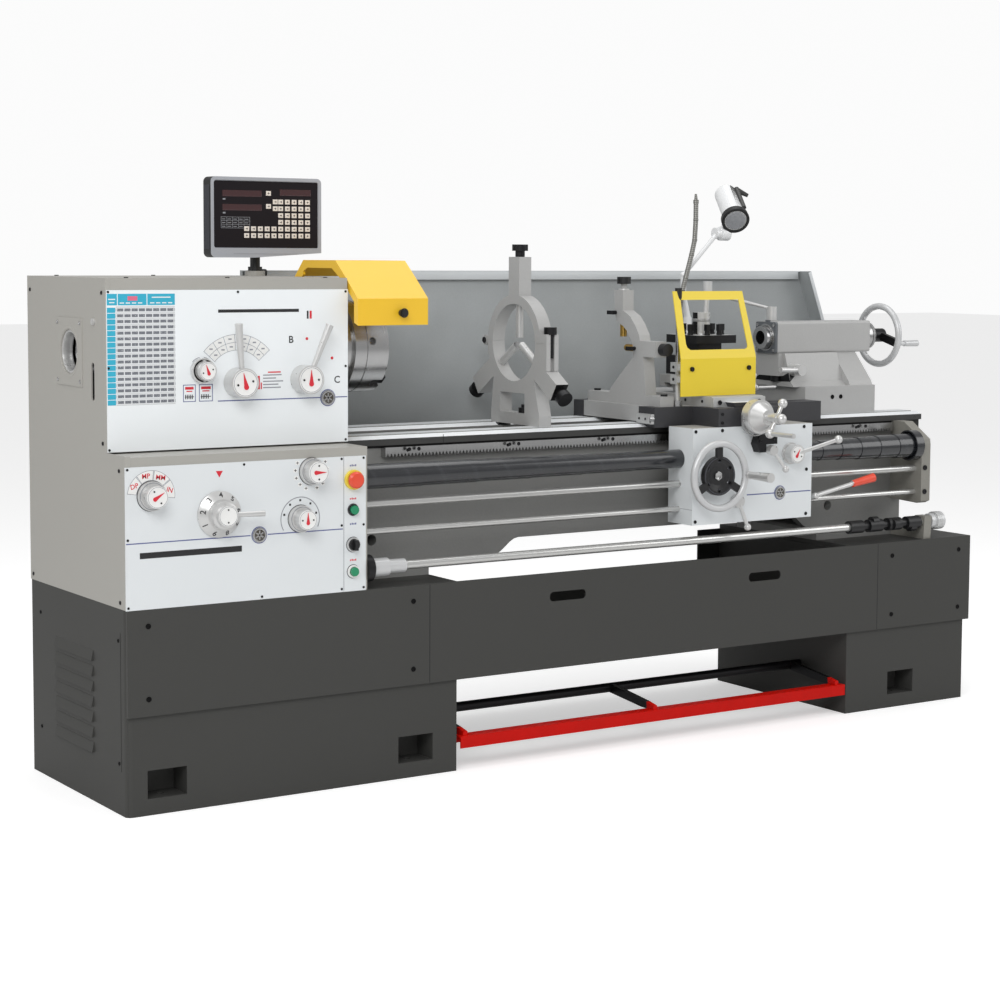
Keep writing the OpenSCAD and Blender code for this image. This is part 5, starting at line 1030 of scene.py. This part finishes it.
def add_gearbox_panel():
    """Front panel of the feed gearbox: scales, marks, button column, screws and sight glass."""
    face, body = 0.0, "base"
    plate("notice_strip", flat(30, 269, 558.5, 571.5, face), body, *BLACK_INK)
    plate("blue_line_gearbox", flat(-1, 290, 590.8, 593.2, face), body, *BLUE_INK)
    plate("blue_line_gearbox_end", flat(332, 519, 590.8, 593.2, face), body, *BLUE_INK)
    plates("button_strip_seam", [flat(520.8, 522.2, 450, 754.5, face, 0.12)], body, *GREY_INK_AND_SHADE, 0.05)
    sight_glass("gearbox_sight_glass", 311, 592, face, 16.5, body)
    screws("gearbox_panel_screws", body, [(x, face, z) for x, z in (
        (3, 750), (3, 455), (275, 749), (317, 455), (3, 600), (516, 600), (516, 750), (516, 456),
        (572, 456), (572, 599), (572, 750))], "y", 2.8, 1.2, socket=0.5)
    # red setting triangle over the dial
    tip = round_bar("dial_triangle", (216, face - 0.05, 733), "y", 9.5, 0.8, 3)
    carry(tip, turned_about((216, 0, 733), 180, "Y"))
    fit(soften(tip, 0.12, 1), body, *RED_INK)
    add_thread_scale(face, body)
    add_feed_knob_marks(face, body)
    add_button_column(face, body)


def add_knob_faces():
    """Faces, pointers and screws of the hand knobs, a ring of painted shadow on each gearbox knob, and the
    numbers of the feed dial.
    """
    knob_face("speed", SPEED_LEVER, 57.6, 56.6, 30, "speed_lever", -12)
    knob_face("range", RANGE_LEVER, 59.6, 58.6, 29.5, "range_lever", 0)
    knob_face("direction", DIRECTION_KNOB, 67.6, 66.8, 19.5, "direction_knob", -18)
    knob_face("thread", THREAD_KNOB, -32.4, -34.9, 23.6, "thread_knob", 58)
    knob_face("upper_feed", UPPER_KNOB, -34.4, -36.9, 24.1, "feed_knob_upper", 90)
    knob_face("lower_feed", LOWER_KNOB, -35.4, -37.9, 21.8, "feed_knob_lower", 0)
    knob_face("dial", FEED_DIAL, -48.4, -49.2, 22, "feed_dial", 90, 0)
    # a thin grey ring of painted shadow on the step of each gearbox knob
    for body, (x, z), y, radius in (("thread_knob", THREAD_KNOB, -9.8, 32),
                                    ("feed_knob_upper", UPPER_KNOB, -10.6, 30),
                                    ("feed_knob_lower", LOWER_KNOB, -10.6, 30)):
        ring(f"{body}_shadow_ring", (x, y, z), "y", radius - 4, radius - 2.6, 0.6, body, *GREY_INK_AND_SHADE, 0)
    # numbers round the cone of the feed dial
    dial = (FEED_DIAL[0], 0, FEED_DIAL[1])
    lean = Matrix.Rotation(math.radians(-37.4), 4, "X")
    for number in range(9):
        figure = mark(str(number + 1), dial, 13, 0, 0.5)
        turn = Matrix.Rotation(math.radians(40 * number - 120), 4, "Y")
        carry(figure, Matrix.Translation(at(*dial)) @ turn @ Matrix.Translation((0, -12.0 * MM, 42.5 * MM))
              @ lean @ Matrix.Translation(-at(*dial)))
        fit(figure, "feed_dial", *BLACK_INK)


# ---------------------------------------------------------------- readout, base and covers

def add_readout_face():
    """Dark keypad face of the position readout: its displays, keys and graph."""
    body, case_y = "readout", 450.0
    face = case_y - 0.7
    screen = block("readout_screen", (420.5, face, 1220), (695.5, case_y + 0.2, 1378))
    step_face(screen, front, 2.2, -0.25)
    fit(soften(screen, 0.2, 1), body, "black_plastic", SCREEN_BLACK)
    glass = face + 0.15
    for name, x0, x1, z0, z1 in (("upper", 442, 545, 1341, 1356), ("middle", 442, 545, 1308, 1323),
                                 ("right", 593, 677, 1345, 1360)):
        window = block(f"{name}_display", (x0, glass - 0.5, z0), (x1, glass + 0.2, z1))
        step_face(window, front, 1.1, -0.25)
        fit(soften(window, 0.15, 1), body, "black_plastic", DISPLAY_RED)
    x0, z0, across, rise = 505, 1249, 18.1, 16.2
    key = block("readout_keys", (x0 - 6.4, glass - 0.9, z0 - 5.6), (x0 + 6.4, glass + 0.2, z0 + 5.6))
    step_face(key, front, 1.5, 0.25)
    soften(key, 0.9, 1)
    places = [(x0 + across * column, z0 + rise * row) for row in (0, 1) for column in range(10)]
    places += [(x0 + across * column, z0 + rise * row) for row in (2, 3, 4, 5) for column in range(5, 10)]
    places += [(581, 1313.8), (581, 1330), (563, 1350), (563, 1319)]
    keys = [key] + [copy_to(key, (x - x0, 0, z - z0)) for x, z in places[1:]]
    fit(join("readout_keys", keys), body, "lamp_white", KEY_CREAM)
    signs = []
    for i, (x, z) in enumerate(places):
        shift = (i % 3) * 0.8
        signs += [flat(x - 2.8, x + 2.8, z - 0.7, z + 0.7, glass - 1.1, 0.15),
                  flat(x - 0.8 + shift, x + 0.8 + shift, z - 2.6, z + 2.4, glass - 1.1, 0.15)]
    plates("readout_key_signs", signs, body, *BLACK_INK, 0.1)
    lines = [(438 + 15 * i, 438.8 + 15 * i, 1266, 1293) for i in range(6)]
    lines += [(438, 514, z, z + 0.8) for z in (1266, 1274.5, 1283, 1292)]
    lines += [(440.5 + (i % 5) * 15, 449.5 + (i % 5) * 15, 1269.5 + 8.6 * (i // 5), 1271 + 8.6 * (i // 5))
              for i in range(15)]
    plates("readout_graph", [flat(*line, glass, 0.25) for line in lines], body, *GREY_LINE, 0.1)
    bars = [(443, 450, 1333, 1336.5), (443, 450, 1300.5, 1304)]
    plates("readout_axis_marks", [flat(*bar, glass, 0.25) for bar in bars],
           body, "lamp_white", GREY_PRINT_AND_SHADE, 0.1)


def add_readout_case():
    """Moulded ribs and louvres of the readout's case, its lower edge and the tilt knob."""
    body = "readout"
    ribs = [((409.9, 455 + 4.4 * i, 1216), (411.4, 457.4 + 4.4 * i, 1368)) for i in range(7)]
    plates("readout_left_ribs", ribs, body, "black_plastic", CASE_DARK_AND_SHADE_LINE, 0.4)
    vents = [((470, 487.6, 1240 + 9 * i), (640, 489.4, 1244 + 9 * i)) for i in range(12)]
    plates("readout_back_louvres", vents, body, "black_plastic", CASE_DARK_AND_SHADE_LINE, 0.5)
    strip("readout_bezel_line", (470, 447.6, 1205), (640, 448.3, 1206.4),
          body, "bright_steel", GREY_PRINT_AND_SHADE, 0.2, 1)
    fit(soften(round_bar("readout_tilt_knob", (574, 500, 1160), "x", 9, 14, 24), 1.5), body, "black_plastic")


def add_base_details():
    """Screws and seams of the cover plates and the side door, and the levelling screws."""
    body = "base"
    screws("base_cover_screws", body, [(x, 0, z) for x in (48, 703, 2184, 2428) for z in (255, 413)],
           "y", 6.0, 1.6, "black_plastic", SCREW_BLACK)
    screws("base_door_screws", body, [(0, y, z) for y in (48, 498) for z in (112, 379)],
           "x", 4.2, 1.4, "black_plastic", SCREW_BLACK)
    for name, x in (("left_cover_seam", 747), ("right_cover_seam", 2133)):
        strip(name, (x - 1.1, -0.12, 219), (x + 1.1, 0.2, 448), body, "black_plastic", SEAM_DARK_AND_SHADE, 0.05, 1)
    strip("side_door_edge", (-0.5, 36.6, 96), (0.3, 38.4, 398), body, "black_plastic", SEAM_DARK_AND_SHADE)
    for i, x in enumerate((130, 690, 2150, 2370)):
        post = round_bar(f"levelling_screw_{i + 1}", (x, 60, 8), "z", 9, 14, 20)
        fit(soften(post, 1.0), body, "black_steel")


def add_splash_rim():
    """Folded rim along the top and the sloping right end of the splash guard, lighter than the sheet as
    painted highlight.
    """
    strip("splash_guard_top_rim", (548, 546.6, 1142), (2306, 548.6, 1164.6),
          "base", "sheet_grey", RIM_PAINTED_HIGHLIGHT, 0.5)
    slope = block("splash_guard_end_rim", (2302, 497.6, 1017), (2312.6, 499.8, 1164.6))
    carry(slope, turned_about((2313, 0, 1165), -20.6, "Y"))
    lower = block("splash_guard_end_rim", (2355, 497.6, 560), (2365.6, 499.8, 1026))
    ends = [soften(slope, 0.5), soften(lower, 0.5)]
    fit(join("splash_guard_end_rim", ends), "base", "sheet_grey", RIM_PAINTED_HIGHLIGHT)


def add_end_cover_details():
    """Screws of the left end cover, and the rings and sleeve of its spindle hole."""
    body = "base"
    ring("spindle_hole_sleeve", (13, *AXIS), "x", 43.5, 48.6, 24, body, "bright_steel", CHROME, 0.8, 64)
    screws("bore_plate_screws", body, [(-2, y, z) for y in (241, 369) for z in (924, 1052)],
           "x", 4.2, 1.6, "bright_steel")
    edge = [(0, 121, 1121), (0, 121, 797), (0, 35, 463), (0, 35, 745), (0, 540, 463), (0, 540, 1121)]
    screws("end_cover_edge_screws", body, edge, "x", 4.4, 1.8, socket=0.5)
    ring("bore_plate_ring", (-1.8, *AXIS), "x", 50.5, 57, 1.6, body, "casing_grey", soft=0.4, steps=64)
    ring("spindle_end_ring", (29.0, *AXIS), "x", 27, 38.4, 3.0, "spindle", "bright_steel", soft=0.8, steps=64)


def add_bed_details():
    """Rack screws, way seam, and the screws of the rod bracket and the headstock's lid."""
    body = "base"
    pairs = [(760 + 280 * i + shift, 118.0, 752) for i in range(6) for shift in (0, 26)]
    screws("rack_screws", body, pairs, "y", 4.6, 2.2)
    strip("bed_gap_seam", (866.4, 139.6, 735), (867.6, 140.4, 781),
          body, "black_plastic", SEAM_DARK_AND_SHADE, 0.1, 1)
    screws("rod_bracket_screws", body, [(2322, 44.5, 712), (2322, 27.8, 640), (2322, 27.8, 575)], "y", 7, 2.5)
    screws("lid_screws", body, [(x, y, 1152.5) for x in (60, 300, 545) for y in (130, 530)], "z", 5, 2)


# ---------------------------------------------------------------- carriage, rests, tailstock and lamp

def add_apron_details():
    """Screws, blue line, seam and sight glass of the apron, and the fittings of its handwheel."""
    face, body = 0.0, "carriage"
    screws("apron_screws", body, [(x, face, z) for x, z in (
        (1516, 771), (1868, 771), (1517, 545), (1878, 545), (1600, 771), (1878, 660))], "y", 4.4, 1.8)
    plate("apron_blue_line", flat(1682, 1772, 602.6, 605.4, face), body, *BLUE_INK)
    plate("apron_blue_line_end", flat(1810, 1894, 602.6, 605.4, face), body, *BLUE_INK)
    strip("apron_side_seam", (1507.85, 1, 574.2), (1508.2, 99, 575.4), body, *GREY_INK_AND_SHADE, 0.05, 1)
    sight_glass("apron_sight_glass", 1790, 604, face, 16, body)
    screws("clamp_block_screws", body, [(1704, -26, 741), (1748, -26, 748)], "y", 5, 2.4)
    screws("table_plate_screws", body, [(x, 0, z) for x in (1600, 1778) for z in (812, 790)], "y", 4.4, 1.8)
    x, z = HANDWHEEL
    wheel = "carriage_handwheel"
    steps = [sector("handwheel_hub_rings", (x, y, z), "y", r - 2.2, r, 0, 360, 1.4, 48)
             for r, y in ((46.5, -42.6), (36, -38.8))]
    fit(join("handwheel_hub_rings", [soften(s, 0.3, 1) for s in steps]), wheel, "black_plastic", CASE_DARK_AND_SHADE_LINE)
    nut = round_bar("handwheel_nut", (x, -36.6, z), "y", 12, 5, 6)
    step_face(nut, front, 3, -1.2)
    fit(soften(nut, 0.6), wheel, "bright_steel")
    ring("handwheel_grip_collar", (x + 80, -62, z), "y", 6, 10.5, 4, wheel, "chrome", soft=0.6, steps=32)
    knob_face("feed_lever", FEED_LEVER, -30.4, -31.3, 21.5, "feed_lever", 30, 0.55)


def dial_marks(name, centre, axis, radius, width, count, body):
    """Graduations cut round a micrometer collar, every fifth one longer."""
    marks = []
    for i in range(count):
        length = width * (0.45 if i % 5 else 0.75)
        stroke = block(name, (-0.3, -length / 2, radius - 0.3), (0.3, length / 2, radius + 0.2))
        turn = Matrix.Rotation(2 * math.pi * i / count, 4, "Y")
        if axis == "x":
            turn = Matrix.Rotation(math.pi / 2, 4, "Z") @ turn
        marks.append(soften(carry(stroke, moved(centre, turn)), 0.08, 1))
    return fit(join(name, marks), body, *BLACK_INK)


def add_slide_details():
    """Graduated collars, gib screws, way plates and wipers of the carriage slides."""
    middle_x = 1688
    dial_marks("cross_dial_marks", (middle_x, -31, 799), "y", 43.1, 12, 60, "cross_crank")
    ring("cross_dial_knurl", (middle_x, -22.5, 799), "y", 41, 44.2, 7,
         "cross_crank", "bright_steel", KNURLED, 0.5, 60)
    dial_marks("top_dial_marks", (1873, 245, 889), "x", 25.1, 9, 50, "top_crank")
    gibs = [(middle_x - 82.5, y, 839) for y in (90, 160, 320, 400)]
    screws("cross_slide_gib_screws", "cross_slide", gibs, "x", 4, 1.4)
    screws("cross_slide_cap_screws", "cross_slide", [(middle_x + s, 42, 838) for s in (-64, 64)], "y", 6, 2.4)
    screws("top_slide_gib_screws", "top_slide", [(1720 + 45 * i, 190, 888) for i in range(3)], "y", 4, 1.6)
    screws("swivel_screws", "cross_slide", [(1655, 200, 864), (1655, 290, 864)], "z", 6, 3)
    for name, x in (("left_way_plate", 1470), ("right_way_plate", 1960)):
        strip(name, (x, 111.4, 812), (x + 40, 112.2, 822), "carriage", "bright_steel", PLATE_LIGHT, 0.2, 1)
    wipers = [block("carriage_wiper_plates", (x0, 113.5, 786), (x1, 168, 807))
              for x0, x1 in ((1455.6, 1457.2), (2006, 2007.2))]
    wipers = join("carriage_wiper_plates", [soften(w, 0.3, 1) for w in wipers])
    fit(wipers, "carriage", "bright_steel", PLATE_LIGHT)
    screws("wiper_screws", "carriage", [(1455.6, 130, 797), (1455.6, 156, 797)], "x", 3, 1.2)


def add_tool_post_details():
    """Rings round the clamping nut and collars of the tool screws."""
    body = "tool_post"
    x, y = TOOL_POST
    ring("tool_post_hub_ring", (x, y, 1040), "z", 21, 23.6, 8, body, "bright_steel", KNURLED)
    ring("tool_post_washer", (x, y, 1003), "z", 23.2, 29, 2.4, body, "bright_steel", soft=0.4)
    spots = [(x + s * dx, y + t * dy, 1004.5)
             for s in (-1, 1) for t in (-1, 1) for dx, dy in ((51, 20), (20, 51))]
    collars = [soften(sector("tool_screw_collars", spot, "z", 6.4, 8.4, 0, 360, 3, 24), 0.3, 1)
               for spot in spots]
    fit(join("tool_screw_collars", collars), body, "black_steel")


def add_guard_details():
    """Screws of the tool guard and the knob ring of the chuck guard."""
    screws("tool_guard_screws", "tool_guard", [(1566, 80, 922), (1750, 80, 922)], "y", 5.2, 1.4)
    screws("tool_guard_block_screws", "tool_guard", [(1540, 126, 895), (1540, 126, 926)], "x", 4, 1.5)
    ring("chuck_guard_knob_ring", (705, 47, 1073), "y", 8.2, 11, 2,
         "chuck_guard", "black_plastic", soft=0.4, steps=32)


def add_rest_details():
    """Lock rings of the fingers and the hinge screw of the steady rest."""
    for angle, body in ((213, "steady_base"), (-33, "steady_base"), (90, "steady_top")):
        a = math.radians(angle)
        place = (STEADY_X, *round_place(AXIS, 207, angle))
        lock = sector(f"finger_lock_ring_{angle % 360}", (0, 0, 0), "z", 10.2, 16.5, 0, 360, 5, 32)
        carry(lock, moved(place, Matrix.Rotation(a - math.pi / 2, 4, "X")))
        fit(soften(lock, 0.6), body, "chrome")
    screws("steady_hinge_screw", "steady_top", [(1169.2, 437, 990)], "x", 8, 2.2)
    ring("follow_rest_top_ring", (FOLLOW_X, AXIS[0], 1119.5), "z", 9.2, 14, 4,
         "carriage", "chrome", soft=0.6, steps=32)


def add_tailstock_details():
    """Front plate screws, quill ring, set-over screws and the wheel's knurled collar."""
    body = "tailstock"
    screws("tail_front_screws", body, [(1988, y, z) for y in (271, 339) for z in (954, 1022)],
           "x", 4.6, 2.2, "bright_steel")
    ring("quill_seat_ring", (1987.4, *AXIS), "x", 31.6, 37, 2.2, body, "bright_steel")
    screws("tail_set_over_screws", body, [(2126, 186.2, 829), (2156, 186.2, 829)],
           "y", 6, 1.6, "black_plastic", SCREW_BLACK)
    ring("tail_wheel_collar", (2352, *AXIS), "x", 30, 37.4, 8, "tail_handwheel", "chrome", KNURLED, 0.6, 60)


def add_lamp_details():
    """Bezel, inner ring and lens of the lamp."""
    body = "lamp"
    turn = LAMP_AIM.to_track_quat("Z", "Y").to_matrix().to_4x4()
    for name, inner, outer, depth, rise, slot, material in (
            ("lamp_bezel", 30.5, 38.6, 4.0, 0.2, "black_plastic", BLACK_PLASTIC),
            ("lamp_inner_ring", 27.6, 30.8, 2.0, -0.4, "lamp_white", PLATE_LIGHT)):
        rim = sector(name, (0, 0, 0), "z", inner, outer, 0, 360, depth, 64)
        carry(rim, moved(LAMP_CENTRE + LAMP_AIM * rise, turn))
        fit(soften(rim, 0.5), body, slot, material)
    lens = round_bar("lamp_lens", (0, 0, 0), "z", 28.2, 2.4, 64)
    step_face(lens, lambda p, n: n[2] > 0.9, 3.0, 0)
    carry(lens, moved(LAMP_CENTRE + LAMP_AIM * 0.1, turn))
    fit(soften(lens, 0.6), body, "lamp_white", LENS_GREY)


def add_rod_details():
    """Collars and rings on the long rods."""
    for body, z, inner, outer in (("feed_rod", 637, 9, 15), ("control_rod", 573, 7.5, 14)):
        ring(f"{body}_collar", (586, 57, z), "x", inner, outer, 5, body, "bright_steel", soft=0.6, steps=40)
    for i, x in enumerate((2350, 2357, 2364)):
        ring(f"stop_knob_ring_{i + 1}", (x, 22, 495), "x", 22, 24.6, 3,
             "stop_rod", "lamp_white", PLATE_LIGHT, 0.5, 40)


add_camera()
add_stage()
bpy.context.scene.view_settings.view_transform = "Standard"
give_each_node_its_finish()
pattern_the_finishes()
finish_the_panels()
finish_the_bed_and_slides()
finish_the_rests()
finish_the_turned_parts()
add_headstock_panel()
add_gearbox_panel()
add_knob_faces()
add_readout_face()
add_readout_case()
add_base_details()
add_splash_rim()
add_end_cover_details()
add_bed_details()
add_apron_details()
add_slide_details()
add_tool_post_details()
add_guard_details()
add_rest_details()
add_tailstock_details()
add_lamp_details()
add_rod_details()
